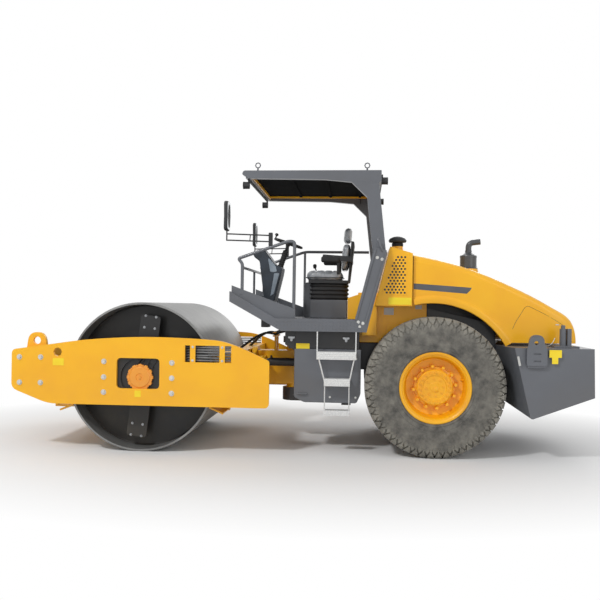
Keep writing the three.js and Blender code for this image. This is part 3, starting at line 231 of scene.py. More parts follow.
def enamel(name, slot, colour, deep, gloss=0.32, dust=0.25, dust_top=0.9):
    paint = Finish(name, slot)
    patches = paint.noise(2.3, 3.0)
    grain = paint.noise(160, 2.0)
    low = 1 - paint.axis("Z").ramp(0.15, dust_top)
    film = (patches.ramp(0.45, 0.75) * 0.35 + low * patches.ramp(0.3, 0.7)) * dust
    shaded = paint.mix(patches.ramp(0.35, 0.7), colour, deep)
    paint.set(
        base_color=paint.mix(film, shaded, DUST),
        roughness=gloss + grain * 0.06 + film * 0.5,
        coat_weight=0.18 - film * 0.15,
    )
    paint.set(coat_roughness=0.12)
    return paint.bump(grain + paint.noise(900, 1.0) * 0.3, 0.0004, 0.25).material


yellow = enamel("yellow_enamel", "yellow_paint", srgb(254, 189, 20), srgb(250, 179, 14), dust=0.08)
wheel_yellow = enamel(
    "wheel_yellow_enamel", "yellow_paint", srgb(253, 186, 16), srgb(246, 171, 10), dust=0.10
)
grey = enamel(
    "grey_enamel", "grey_paint", srgb(100, 103, 109), srgb(92, 95, 101), gloss=0.34, dust=0.14
)
black = enamel(
    "black_enamel", "black_paint", srgb(34, 35, 38), srgb(26, 27, 29), gloss=0.42, dust=0.22
)
drum_black = enamel(
    "drum_black_enamel", "black_paint", srgb(22, 22, 23), srgb(16, 16, 17), gloss=0.5, dust=0.12
)
orange = enamel("orange_enamel", "orange_paint", srgb(245, 165, 55), srgb(236, 150, 44), dust=0.15)
print("paints:", yellow.name, grey.name, black.name, orange.name)

# %% [markdown]
# ## Bare metal, rubber and plastic
# The drum's skin is bare rolled steel. It is streaked round its turn, so the noise is squeezed
# along the drum's width and stretched round it. Rubber is dull, with pale dust in its low places.


# %% Drum steel
def drum_steel():
    steel = Finish("drum_steel", "bare_steel")
    streaks = steel.noise(6, 4.0, 0.6, at=steel.scaled((0.6, 14, 0.6)))
    blotches = steel.noise(5, 4.0, 0.65)
    scale = steel.cells(60, at=steel.scaled((1, 1.6, 1)))
    tone = streaks * 0.5 + blotches * 0.5
    steel.set(
        base_color=steel.mix(tone.ramp(0.3, 0.7), srgb(112, 112, 112), srgb(160, 160, 158)),
        metallic=0.55,
        roughness=0.36 + blotches * 0.2,
    )
    return steel.bump(scale * 0.6 + streaks, 0.0006, 0.35).material


def bare_metal(name, slot, light, dark, roughness=0.3, metallic=1.0, scale=40):
    metal = Finish(name, slot)
    grain = metal.noise(scale, 3.0)
    metal.set(
        base_color=metal.mix(grain.ramp(0.3, 0.7), light, dark),
        metallic=metallic,
        roughness=roughness + grain * 0.15,
    )
    return metal.bump(metal.noise(scale * 8, 2.0), 0.0003, 0.2).material


drum_skin = drum_steel()
zinc = bare_metal(
    "zinc_plating", "bare_steel", srgb(222, 222, 218), srgb(196, 196, 192), 0.28, 0.75
)
steel = bare_metal("machined_steel", "bare_steel", srgb(176, 178, 180), srgb(146, 148, 151), 0.22)
bright = bare_metal(
    "grip_aluminium", "bare_steel", srgb(232, 232, 230), srgb(205, 206, 206), 0.42, 0.35, 90
)
print("metals:", drum_skin.name, zinc.name, steel.name, bright.name)


# %% Rubber and plastic
def moulded(name, slot, light, dark, roughness=0.6, scale=220, depth=0.0004, coat=0.0):
    plastic = Finish(name, slot)
    grain = plastic.cells(scale)
    wear = plastic.noise(7, 3.0)
    plastic.set(
        base_color=plastic.mix(wear.ramp(0.35, 0.7), dark, light),
        roughness=roughness + wear * 0.12,
        coat_weight=coat,
    )
    return plastic.bump(grain, depth, 0.4).material


def tyre_rubber():
    rubber = Finish("dusty_tyre_rubber", "tyre")
    dirt = rubber.noise(9, 5.0, 0.65)
    fine = rubber.noise(120, 3.0, 0.7)
    x = rubber.axis("X") - (tyre_low.x + tyre_high.x) / 2
    z = rubber.axis("Z") - (tyre_low.z + tyre_high.z) / 2
    reach = rubber.node("ShaderNodeMath", {"operation": "SQRT"}, {0: x * x + z * z})
    tread = reach.ramp(0.55, 0.69)
    film = (dirt.ramp(0.3, 0.7) * 0.55 + tread * 0.4) * (0.6 + fine * 0.6)
    rubber.set(
        base_color=rubber.mix(film, srgb(68, 67, 65), srgb(166, 162, 151)),
        roughness=0.78 + dirt * 0.15,
    )
    return rubber.bump(fine + dirt, 0.0015, 0.5).material


tyre_low, tyre_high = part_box("tyre_left")
tyre_finish = tyre_rubber()
console_plastic = moulded(
    "console_plastic", "console_plastic", srgb(50, 59, 70), srgb(36, 43, 51), 0.5
)
trim_plastic = moulded("black_moulding", "dark_trim", srgb(48, 49, 51), srgb(34, 35, 37), 0.55)
soft_rubber = moulded(
    "soft_black_rubber", "dark_trim", srgb(44, 44, 45), srgb(30, 30, 31), 0.7, 90, 0.0008
)
hose_rubber = moulded(
    "hose_rubber", "dark_trim", srgb(38, 38, 39), srgb(27, 27, 28), 0.5, 300, 0.0003
)
hose_sleeve = moulded(
    "grey_hose_sleeve", "dark_trim", srgb(122, 123, 124), srgb(78, 79, 80), 0.35, 300, 0.0003
)
label_yellow = moulded(
    "blank_yellow_label", "yellow_paint", srgb(253, 226, 46), srgb(249, 216, 38), 0.35, 400, 0.00005
)
plate_white = moulded(
    "blank_white_plate", "grey_paint", srgb(214, 214, 210), srgb(196, 196, 192), 0.4, 400, 0.00005
)
stripe_grey = moulded(
    "grey_stripe_film", "grey_paint", srgb(92, 94, 99), srgb(84, 86, 91), 0.35, 300, 0.00005
)
print("rubber and plastic:", tyre_finish.name, console_plastic.name, trim_plastic.name)

# %% [markdown]
# ## Seat cover
# The seat is covered in grey woven cloth under a thin clear film, as it leaves the works. The weave
# is two crossed waves, and the film is a clear coat with broad wrinkles under it. The cloth is
# darker in the wrinkles' troughs and lighter on their crests: painted shade and painted sheen.


# %% Seat cloth
def seat_cloth():
    cloth = Finish("seat_cover_cloth", "seat_vinyl")
    warp = cloth.node(
        "ShaderNodeTexWave", {"bands_direction": "X"}, {"Vector": cloth.place, "Scale": 110.0}
    )
    weft = cloth.node(
        "ShaderNodeTexWave", {"bands_direction": "Y"}, {"Vector": cloth.place, "Scale": 110.0}
    )
    wrinkles_and_painted_shade = cloth.noise(14, 5.0, 0.6, at=cloth.scaled((1, 2.2, 1)))
    weave = warp * 0.5 + weft * 0.5
    # Colour follows the wrinkles' height: painted shade in their troughs and painted sheen on their
    # crests.
    cloth.set(
        base_color=cloth.mix(wrinkles_and_painted_shade.ramp(0.3, 0.75), srgb(112, 116, 121), srgb(186, 190, 194)),
        roughness=0.55 - wrinkles_and_painted_shade * 0.25,
        coat_weight=wrinkles_and_painted_shade.ramp(0.35, 0.6),
    )
    cloth.set(coat_roughness=0.15)
    return cloth.bump(weave * 0.15 + wrinkles_and_painted_shade * 6, 0.002, 0.5).material


seat_cover = seat_cloth()
print("cloth:", seat_cover.name)

# %% [markdown]
# ## Lamp glass and mirror glass
# A lamp's glass is pressed with fine ribs, which a wave draws. A mirror is almost smooth metal.
# The record names a slot for each frame piece, and one finish stands for each of those slots.

# %% Glass
lamp_lens = Finish("lamp_lens", "bare_steel")
ribs = lamp_lens.node(
    "ShaderNodeTexWave", {"bands_direction": "Y"}, {"Vector": lamp_lens.place, "Scale": 60.0}
)
lamp_lens.set(
    base_color=lamp_lens.mix(ribs, srgb(205, 208, 210), srgb(240, 242, 243)), metallic=0.4,
    roughness=0.12
)
lamp_lens = lamp_lens.bump(ribs, 0.001, 0.5).material
OF_SLOT = {
    "yellow_paint": yellow, "grey_paint": grey, "black_paint": black, "orange_paint": orange,
    "bare_steel": steel, "engine_iron": black, "aluminium": bright,
    "console_plastic": console_plastic, "dark_trim": trim_plastic,
}
mirror_glass = bare_metal(
    "mirror_glass", "bare_steel", srgb(232, 235, 237), srgb(226, 229, 231), 0.02
)
print("glass:", lamp_lens.name, mirror_glass.name)

# %% [markdown]
# ## Shapes
# Most parts of a machine like this are cut plate, bent tube and turned metal. A few helpers make
# those: a plate from an outline, a tube along bends, and a turned solid from a profile. Each leaves
# its object at the origin, with its place in its mesh.


# %% Helpers for meshes
def object_of(name, mesh):
    made = bpy.data.objects.new(name, mesh)
    scene.collection.objects.link(made)
    return made


def shade(mesh, angle=35):
    mesh.shade_smooth()
    mesh.set_sharp_from_angle(angle=math.radians(angle))


def closed_up(mesh):
    """Merges the mesh's doubled points and turns its faces outwards."""
    work = bmesh.new()
    work.from_mesh(mesh)
    bmesh.ops.remove_doubles(work, verts=work.verts, dist=1e-6)
    bmesh.ops.recalc_face_normals(work, faces=work.faces)
    work.to_mesh(mesh)
    work.free()


def evaluated(piece):
    """The mesh that a piece's modifiers or curve settings make."""
    return bpy.data.meshes.new_from_object(
        piece.evaluated_get(bpy.context.evaluated_depsgraph_get())
    )


def applied(piece, angle=35):
    """The piece with its modifiers turned into plain mesh."""
    result = evaluated(piece)
    if piece.type != "MESH":
        closed_up(result)
        name = piece.name
        bpy.data.objects.remove(piece)
        piece = object_of(name, result)
    else:
        piece.modifiers.clear()
        piece.data = result
    shade(piece.data, angle)
    return piece


def ease(piece, width, segments=2, angle=30):
    """Rounds the piece's sharp edges."""
    bevel = piece.modifiers.new("bevel", "BEVEL")
    bevel.width, bevel.segments = width, segments
    bevel.limit_method, bevel.angle_limit = "ANGLE", math.radians(angle)
    return applied(piece)


def mesh_of(name, points, faces, angle=35):
    mesh = bpy.data.meshes.new(name)
    mesh.from_pydata([tuple(p) for p in points], [], faces)
    closed_up(mesh)
    shade(mesh, angle)
    return object_of(name, mesh)


def walls(rows, count, closed=True):
    """The faces between rows of points, where each row goes round or just across."""
    faces = []
    for i in range(rows - 1):
        for k in range(count if closed else count - 1):
            on = (k + 1) % count
            faces.append((i * count + k, i * count + on, (i + 1) * count + on, (i + 1) * count + k))
    return faces


def joined(name, pieces):
    """Several meshes as one piece."""
    work = bmesh.new()
    for piece in pieces:
        work.from_mesh(piece.data)
    mesh = bpy.data.meshes.new(name)
    work.to_mesh(mesh)
    work.free()
    for piece in pieces:
        bpy.data.objects.remove(piece)
    shade(mesh)
    return object_of(name, mesh)


def finished(piece, body, material, replaced=()):
    """Gives a piece its material, the body it moves with and the frame pieces it stands for."""
    piece.data.materials.clear()
    piece.data.materials.append(material)
    even = piece.modifiers.new("even", "WEIGHTED_NORMAL")
    even.keep_sharp = True
    result = evaluated(piece)
    piece.modifiers.clear()
    piece.data = result
    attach(piece, body)
    if replaced:
        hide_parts(*replaced)
    return piece


def stand_in(piece, node, material=None):
    """Finishes a piece that stands for one frame piece, in that piece's slot."""
    slot = slot_of_node[node]
    return finished(piece, body_of_node[node], material or OF_SLOT[slot], (node,))


print("mesh helpers are ready")


# %% Helpers for plate, tube and turned metal
AXES = {
    "side": Matrix(((1, 0, 0, 0), (0, 0, -1, 0), (0, 1, 0, 0), (0, 0, 0, 1))),
    "front": Matrix(((0, 0, 1, 0), (1, 0, 0, 0), (0, 1, 0, 0), (0, 0, 0, 1))),
    "plan": Matrix.Identity(4),
}


def corner_curve(start, here, end, steps):
    """Points on a smooth curve from start to end that bends towards here."""
    shares = [step / steps for step in range(steps + 1)]
    return [start * (1 - t) ** 2 + here * 2 * t * (1 - t) + end * t * t for t in shares]


def rounded(corners, steps=5):
    """An outline with its corners rounded. A corner is (u, v) or (u, v, radius)."""
    points = []
    for i, corner in enumerate(corners):
        here = Vector(corner[:2])
        radius = corner[2] if len(corner) > 2 else 0
        if not radius:
            points.append(here)
            continue
        before = Vector(corners[i - 1][:2]) - here
        after = Vector(corners[(i + 1) % len(corners)][:2]) - here
        start = here + before.normalized() * min(radius, before.length / 2)
        end = here + after.normalized() * min(radius, after.length / 2)
        points += corner_curve(start, here, end, steps)
    return points


def box_outline(low_u, low_v, high_u, high_v, corner):
    """A rectangle's outline with round corners."""
    corners = ((low_u, low_v), (high_u, low_v), (high_u, high_v), (low_u, high_v))
    return rounded([(*point, corner) for point in corners])


def ring(u, v, radius, count=24):
    return [Vector((u + radius * math.cos(a), v + radius * math.sin(a))) for a in turns(count)]


def turns(count, start=0.0):
    return [start + 2 * math.pi * i / count for i in range(count)]


def plate(name, plane, low, high, outline, holes=(), edge=0.0015):
    """A flat plate with holes, cut from an outline and with its edges eased."""
    curve = bpy.data.curves.new(name, "CURVE")
    curve.dimensions = "2D"
    curve.fill_mode = "BOTH"
    curve.extrude = (high - low) / 2 - edge
    curve.bevel_depth, curve.bevel_resolution = edge, 1
    for points in (outline, *holes):
        spline = curve.splines.new("POLY")
        spline.points.add(len(points) - 1)
        for point, (u, v) in zip(spline.points, points):
            point.co = (u, v, 0, 1)
        spline.use_cyclic_u = True
    made = applied(object_of(name, curve))
    middle = (low + high) / 2 * (-1 if plane == "side" else 1)
    made.data.transform(AXES[plane] @ Matrix.Translation((0, 0, middle)))
    return made


def bent(points, bend, steps=6):
    """A course of straight runs with rounded bends."""
    points = [Vector(p) for p in points]
    course = [points[0]]
    for before, here, after in zip(points, points[1:], points[2:]):
        back, on = before - here, after - here
        reach = min(bend, back.length * 0.49, on.length * 0.49)
        start, end = here + back.normalized() * reach, here + on.normalized() * reach
        course += corner_curve(start, here, end, steps)
    return course + [points[-1]]


def tube(name, points, radius, bend=0.05, smooth=3):
    """A round tube along a bent course, with closed ends."""
    curve = bpy.data.curves.new(name, "CURVE")
    curve.dimensions = "3D"
    curve.bevel_depth, curve.bevel_resolution = radius, smooth
    curve.use_fill_caps = True
    course = bent(points, bend) if bend else [Vector(p) for p in points]
    spline = curve.splines.new("POLY")
    spline.points.add(len(course) - 1)
    for point, at in zip(spline.points, course):
        point.co = (*at, 1)
    return applied(object_of(name, curve), 50)


def turned(name, profile, count=96, centre=(0, 0, 0), axis="Z", closed=False, angle=35):
    """A solid turned about an axis, from (radius, distance along the axis) points."""
    points, faces = [], []
    for a in turns(count):
        for radius, along in profile:
            flat = (radius * math.cos(a), radius * math.sin(a))
            local = {"X": (along, *flat), "Y": (flat[0], along, flat[1]), "Z": (*flat, along)}[axis]
            points.append(Vector(centre) + Vector(local))
    n = len(profile)
    last = n if closed else n - 1
    for i in range(count):
        j = (i + 1) % count
        for k in range(last):
            m = (k + 1) % n
            faces.append((i * n + k, i * n + m, j * n + m, j * n + k))
    return mesh_of(name, points, faces, angle)


def block(name, low, high, edge=0.003, segments=2):
    corners = [
        (x, y, z) for x in (low[0], high[0]) for y in (low[1], high[1]) for z in (low[2], high[2])
    ]
    faces = [(0, 1, 3, 2), (4, 6, 7, 5), (0, 4, 5, 1), (2, 3, 7, 6), (0, 2, 6, 4), (1, 5, 7, 3)]
    return ease(mesh_of(name, corners, faces), edge, segments)


def faced_out(piece, place, side):
    """Turns a piece made along +Z to face out of the side, and puts it in its place."""
    turn = Matrix.Rotation(math.radians(-90 * side), 4, "X")
    piece.data.transform(Matrix.Translation(place) @ turn)
    return piece


def side_block(name, s, low, high, edge=0.003, segments=2):
    """A block on the side s of the machine. Its corners give y as on the right side."""
    low_y, high_y = sorted((s * low[1], s * high[1]))
    return block(name, (low[0], low_y, low[2]), (high[0], high_y, high[2]), edge, segments)


def eased(node, width=0.004, segments=2, angle=30, changed=None):
    """A copy of a frame piece with rounded edges, which stands for it."""
    mesh = nodes[node].data.copy()
    work = bmesh.new()
    work.from_mesh(mesh)
    bmesh.ops.remove_doubles(work, verts=work.verts, dist=2e-5)
    bmesh.ops.dissolve_limit(
        work, angle_limit=math.radians(0.5), verts=work.verts, edges=work.edges
    )
    work.to_mesh(mesh)
    work.free()
    mesh.materials.clear()
    piece = object_of(node + "_eased", mesh)
    if changed:
        changed(piece)
    return ease(piece, width, segments, angle)


print("shape helpers are ready")

# %% [markdown]
# ## What repeats
# A machine repeats its bolts, wheel nuts, lugs and holes. Two Geometry Nodes trees place them. The
# first sets copies of a piece evenly round a circle. The second sets copies at stated places, each
# facing its own way. Both end as plain mesh, so the result can be saved and moved like any piece.


# %% Trees that set copies round a circle and at stated places
def growth(name, sockets):
    """An empty geometry tree with named inputs, and a node for those inputs."""
    group = Tree(bpy.data.node_groups.new(name, "GeometryNodeTree"))
    face = group.tree.interface
    for title, kind in sockets.items():
        face.new_socket(title, in_out="INPUT", socket_type="NodeSocket" + kind)
    face.new_socket("Geometry", in_out="OUTPUT", socket_type="NodeSocketGeometry")
    entry = group.tree.nodes.new("NodeGroupInput")
    group.given = {title: Socket(group, entry.outputs[title]) for title in sockets}
    return group


def finish_growth(group, instances):
    real = group.node("GeometryNodeRealizeInstances", None, {"Geometry": instances})
    painted = group.node(
        "GeometryNodeSetMaterial", None, {"Geometry": real, "Material": group.given["Material"]}
    )
    group.node("NodeGroupOutput", None, {"Geometry": painted}, out=None)
    return group.tree


def circle_tree():
    group = growth(
        "copies round a circle",
        {
            "Piece": "Object", "Count": "Int", "Radius": "Float", "Start": "Float",
            "Material": "Material"
        }
    )
    given = group.given
    circle = group.node(
        "GeometryNodeMeshCircle", None, {"Vertices": given["Count"], "Radius": given["Radius"]}
    )
    index = group.node("GeometryNodeInputIndex")
    turn = index * (2 * math.pi) / given["Count"]
    spin = group.node("ShaderNodeCombineXYZ", None, {"Z": turn})
    shape = group.node("GeometryNodeObjectInfo", None, {"Object": given["Piece"]}, out="Geometry")
    copies = group.node(
        "GeometryNodeInstanceOnPoints", None,
        {"Points": circle, "Instance": shape, "Rotation": spin}
    )
    begin = group.node("ShaderNodeCombineXYZ", None, {"Z": given["Start"]})
    turned_copies = group.node(
        "GeometryNodeTransform", None, {"Geometry": copies, "Rotation": begin}
    )
    return finish_growth(group, turned_copies)


def places_tree():
    group = growth(
        "copies at places",
        {"Geometry": "Geometry", "Piece": "Object", "Size": "Float", "Material": "Material"},
    )
    given = group.given
    facing = group.node(
        "GeometryNodeInputNamedAttribute", {"data_type": "FLOAT_VECTOR"}, {"Name": "facing"}
    )
    along = group.node(
        "GeometryNodeInputNamedAttribute", {"data_type": "FLOAT_VECTOR"}, {"Name": "along"}
    )
    out = group.node("FunctionNodeAlignRotationToVector", {"axis": "Z"}, {"Vector": facing})
    way = group.node(
        "FunctionNodeAlignRotationToVector",
        {"axis": "X", "pivot_axis": "Z"},
        {"Rotation": out, "Vector": along},
    )
    shape = group.node("GeometryNodeObjectInfo", None, {"Object": given["Piece"]}, out="Geometry")
    copies = group.node(
        "GeometryNodeInstanceOnPoints",
        None,
        {"Points": given["Geometry"], "Instance": shape, "Rotation": way, "Scale": given["Size"]},
    )
    return finish_growth(group, copies)


CIRCLE, PLACES = circle_tree(), places_tree()
print("geometry trees:", CIRCLE.name, "and", PLACES.name)


# %% Helpers that run the trees
def grown(name, mesh, tree, values):
    """Runs a geometry tree on a mesh, and returns the plain mesh it makes."""
    base = object_of(name, mesh)
    modifier = base.modifiers.new("growth", "NODES")
    modifier.node_group = tree
    for item in tree.interface.items_tree:
        if item.item_type == "SOCKET" and item.in_out == "INPUT" and item.name in values:
            modifier[item.identifier] = values[item.name]
    base.data.update()
    result = evaluated(base)
    bpy.data.objects.remove(base)
    piece = object_of(name, result)
    shade(piece.data)
    return piece


def around(name, shape, count, radius, centre, side, material, start=0.0):
    """Copies of a shape round an axis across the machine. Side is -1 where they face left."""
    empty = bpy.data.meshes.new(name + "_base")
    empty.from_pydata([(0, 0, 0)], [], [])
    values = {
        "Piece": shape, "Count": count, "Radius": radius, "Start": start, "Material": material
    }
    piece = grown(name, empty, CIRCLE, values)
    bpy.data.objects.remove(shape)
    return faced_out(piece, centre, side)


def copies(name, shape, places, material, size=1.0):
    """Copies of a shape at places, each (point, facing) or (point, facing, along)."""
    mesh = bpy.data.meshes.new(name + "_places")
    mesh.from_pydata([tuple(place[0]) for place in places], [], [])
    for title, index, usual in (("facing", 1, None), ("along", 2, (1, 0, 0.01))):
        values = [c for place in places for c in (place[index] if index < len(place) else usual)]
        mesh.attributes.new(title, "FLOAT_VECTOR", "POINT").data.foreach_set("vector", values)
    piece = grown(name, mesh, PLACES, {"Piece": shape, "Size": size, "Material": material})
    bpy.data.objects.remove(shape)
    return piece


def bolt(radius, height):
    """A hexagon head with a washer under it, standing on z = 0."""
    head = [
        Vector((radius * r * math.cos(a), radius * r * math.sin(a), z * height))
        for r, z in ((1, 0.2), (1, 0.85), (0.86, 1))
        for a in turns(6)
    ]
    faces = walls(3, 6) + [tuple(range(5, -1, -1)), tuple(range(12, 18))]
    top = mesh_of("bolt_head", head, faces)
    washer = turned(
        "washer", [(0, 0), (radius * 1.4, 0), (radius * 1.4, height * 0.2), (0, height * 0.2)], 16
    )
    return joined("bolt", [top, washer])


def bolted(name, body, places, radius, height, material):
    """Sets a bolt at each place, on one body."""
    return finished(copies(name, bolt(radius, height), places, material), body, material)


print("growth helpers are ready")

# %% [markdown]
# ## Stage
# The machine stands on a pale floor under soft light. A large key lamp hangs high in front and to
# the left, a weaker one fills from the right, and the world adds an even sky. Far from the machine
# the floor turns into the same white as the sky, so that no horizon shows.

# %% Floor, sky and lamps
def seen_directly(tree):
    """1 where a ray from the camera, a mirror or a pane of glass arrives, and 0 elsewhere."""
    kinds = ("Camera", "Glossy", "Transmission")
    rays = [tree.node("ShaderNodeLightPath", out=f"Is {kind} Ray") for kind in kinds]
    return rays[0].maths("MAXIMUM", rays[0], rays[1].maths("MAXIMUM", rays[1], rays[2]))


def lamp(name, place, aim, size, power):
    light = bpy.data.lights.new(name, "AREA")
    light.size, light.energy = size, power
    made = bpy.data.objects.new(name, light)
    made.location = place
    made.rotation_euler = (Vector(aim) - Vector(place)).to_track_quat("-Z", "Y").to_euler()
    scene.collection.objects.link(made)


floor = mesh_of("floor", [(-60, -60, 0), (60, -60, 0), (60, 60, 0), (-60, 60, 0)], [(0, 1, 2, 3)])
ground = Finish("pale_floor")
ground.set(base_color=(0.86, 0.86, 0.86), roughness=0.9)
gone = ground.axis("X") * ground.axis("X") * 0.5 + ground.axis("Y") * ground.axis("Y")
glow = ground.node("ShaderNodeEmission", None, {"Color": (1, 1, 1), "Strength": 1.0})
surface = Socket(ground, ground.shader.outputs[0])
blend = ground.node(
    "ShaderNodeMixShader", None,
    {0: gone.ramp(3.0, 14.0) * seen_directly(ground), 1: surface, 2: glow}
)
ground.put(ground.tree.nodes["Material Output"].inputs["Surface"], blend)
floor.data.materials.append(ground.material)

world = bpy.data.worlds.new("studio")
scene.world = world
world.use_nodes = True
sky = Tree(world.node_tree)
background = sky.tree.nodes["Background"]
sky.put(background.inputs["Color"], (1, 1, 1))
sky.put(background.inputs["Strength"], seen_directly(sky) * 0.52 + 0.48)
lamp("key", (-5.6, -9.4, 10.6), (0, 0, 1.0), 1.5, 800)
lamp("fill", (7.0, -7.0, 4.0), (0.5, 0, 1.0), 5.0, 110)
lamp("back", (3.0, 9.0, 7.0), (0, 0, 1.0), 5.0, 260)
print("stage is lit")

# %% [markdown]
# ## The drum
# The drum is a rolled steel shell, 25 mm thick, with a black head set back inside each end. The CAD
# shell has 40 flats, so a smooth turned ring stands for it. A turned profile is the right tool,
# because every section through the axis is the same. The worn edge is part of the profile.

# %% Drum shell
drum_low, drum_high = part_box("drum_shell")
DRUM_AXIS = Vector(((drum_low.x + drum_high.x) / 2, 0, (drum_low.z + drum_high.z) / 2))
DRUM_R = (drum_high.z - drum_low.z) / 2 - 0.0005
DRUM_HALF = drum_high.y
half = [
    (DRUM_R - 0.025, 0.0),
    (DRUM_R - 0.025, DRUM_HALF - 0.006),
    (DRUM_R - 0.022, DRUM_HALF - 0.001),
    (DRUM_R - 0.006, DRUM_HALF - 0.001),
    (DRUM_R - 0.002, DRUM_HALF - 0.004),
    (DRUM_R, DRUM_HALF - 0.012),
    (DRUM_R, DRUM_HALF - 0.3),
]
section = half + [(r, -y) for r, y in reversed(half)]
shell = turned("drum_shell_smooth", section[:-1], 192, DRUM_AXIS, "Y", closed=True)
finished(shell, "drum", drum_skin, ("drum_shell",))
print("drum shell of", len(shell.data.polygons), "faces")

# %% [markdown]
# Each head is a thick disc with a hub, and a heavy bar stands in front of it. The bar's two end
# pads are bolted on, four bolts to a pad. A weld bead runs where the head meets the shell.


# %% Drum heads
HEAD_FACE = 0.8


def drum_head(side, name):
    face = side * HEAD_FACE
    inner = DRUM_R - 0.026
    fillet = [
        (inner, face + side * 0.03), (inner, face + side * 0.044),
        (DRUM_R - 0.04, face + side * 0.031)
    ]
    bead = turned("weld", fillet, 96, DRUM_AXIS, "Y", closed=True)
    return joined(name + "_detailed", [eased(name, 0.006), bead])


BAR_TILT = math.radians(6.5)
PAD_FACE = 0.9605
pad_bolts = []
for side, name in SIDES:
    node = "drum_head_" + name
    stand_in(drum_head(side, node), node, drum_black)
    for end in (-1, 1):
        for u, reach in ((-0.055, 0.62), (0.055, 0.62), (-0.055, 0.50), (0.055, 0.50)):
            v = end * reach
            x = u * math.cos(BAR_TILT) + v * math.sin(BAR_TILT)
            z = -u * math.sin(BAR_TILT) + v * math.cos(BAR_TILT)
            pad_bolts.append((DRUM_AXIS + Vector((x, side * PAD_FACE, z)), (0, side, 0)))
bolted("drum_pad_bolts", "drum", pad_bolts, 0.0095, 0.010, steel)
print(len(pad_bolts), "bolts on the drum's bars")

# %% [markdown]
# ## The wheels
# The tyre is a carcass with raised lugs. The carcass is turned from a profile with a bulging wall
# and a rim guard. The lugs are small blocks set round it by the circle tree: a row of shoulder
# blocks on each side and staggered diamonds between them.

# %% Tyre carcass
WHEEL_AXIS = Vector(((tyre_low.x + tyre_high.x) / 2, 0, (tyre_low.z + tyre_high.z) / 2))
TYRE_R = WHEEL_AXIS.z
TYRE_MIDDLE = 0.79
GROOVE = 0.020
wall = [
    (0.319, 0.228), (0.340, 0.232), (0.366, 0.238), (0.374, 0.246), (0.384, 0.246), (0.392, 0.240),
    (0.425, 0.246), (0.430, 0.250), (0.436, 0.247), (0.480, 0.2545), (0.540, 0.2590),
    (0.575, 0.2595), (0.579, 0.2575), (0.583, 0.2595), (0.620, 0.2545), (0.650, 0.2440),
    (0.674, 0.2230), (TYRE_R - GROOVE, 0.185), (TYRE_R - GROOVE + 0.002, 0.090),
    (TYRE_R - GROOVE + 0.002, 0.0)
]
carcass_section = wall + [(r, -y) for r, y in reversed(wall)][1:]


def tread_block(name, outline, base, top, taper=0.82):
    """A lug with its foot and head at two radii. Its outline is (round, across) the tyre."""
    middle = Vector((sum(p[0] for p in outline), sum(p[1] for p in outline))) / len(outline)
    rows = []
    for radius, scale in ((base, 1.0), (top, taper)):
        for u, v in outline:
            around_way = middle.x + (u - middle.x) * scale
            rows.append(Vector((radius, around_way, middle.y + (v - middle.y) * scale)))
    n = len(outline)
    faces = walls(2, n) + [tuple(reversed(range(n))), tuple(range(n, 2 * n))]
    return mesh_of(name, rows, faces)


LUGS = 54
PITCH = 2 * math.pi * TYRE_R / LUGS
diamond = [(-0.40 * PITCH, 0.0), (0.0, -0.034), (0.40 * PITCH, 0.0), (0.0, 0.034)]


def shoulder_block(sign):
    """A shoulder lug, which wraps from the tread down onto the wall."""
    points = []
    for u, radius, across in (
        (0.34, TYRE_R - 0.001, 0.155), (0.42, TYRE_R - 0.004, 0.205), (0.33, 0.676, 0.2475),
        (0.05, 0.640, 0.2600), (0.42, TYRE_R - 0.030, 0.140), (0.46, 0.600, 0.235),
    ):
        for end in (-1, 1):
            points.append(Vector((radius, end * u * PITCH, sign * across)))
    faces = [(0, 1, 3, 2), (2, 3, 5, 4), (4, 5, 7, 6), (0, 8, 9, 1), (6, 7, 11, 10), (8, 10, 11, 9)]
    faces += [(0, 2, 4, 6, 10, 8), (1, 9, 11, 7, 5, 3)]
    return mesh_of("shoulder", points, faces)


def wall_block(sign):
    """A small diamond on the wall, which stands between two shoulder lugs."""
    rim_points = [
        (0.0, 0.664, 0.2525), (0.32, 0.628, 0.2625), (0.0, 0.590, 0.2630), (-0.32, 0.628, 0.2625)
    ]
    top = [Vector((r, u * 0.8 * PITCH, sign * y)) for u, r, y in rim_points]
    foot = [Vector((r, u * PITCH, sign * (y - 0.016))) for u, r, y in rim_points]
    return mesh_of("wall_block", top + foot, [(3, 2, 1, 0), (4, 5, 6, 7)] + walls(2, 4))


def tyre(side, name):
    centre = WHEEL_AXIS + Vector((0, side * TYRE_MIDDLE, 0))
    half_pitch = math.pi / LUGS
    rows = []
    for row, across in enumerate((-0.105, -0.035, 0.035, 0.105)):
        outline = [(u, v + across) for u, v in diamond]
        shape = tread_block("diamond", outline, TYRE_R - GROOVE - 0.004, TYRE_R - 0.001)
        rows.append((shape, (row % 2) * half_pitch))
    for sign, start in ((1, 0.0), (-1, half_pitch)):
        rows.append((shoulder_block(sign), start))
        rows.append((wall_block(sign), start + half_pitch))
    parts = [turned("carcass", carcass_section, 160, centre, "Y", closed=True, angle=28)]
    for shape, start in rows:
        parts.append(around("row", shape, LUGS, 0.0, centre, side, tyre_finish, start))
    return stand_in(joined(name + "_lugged", parts), name, tyre_finish)


for side, name in SIDES:
    made = tyre(side, "tyre_" + name)
print("each tyre has", LUGS, "lugs to a row and", len(made.data.polygons), "faces")

# %% [markdown]
# The rim is a deep dish. Its flange, its bead seat and the hub's stepped face are turned. Twelve
# wheel nuts stand on the dish, and two rings of bolts on the hub's cover.

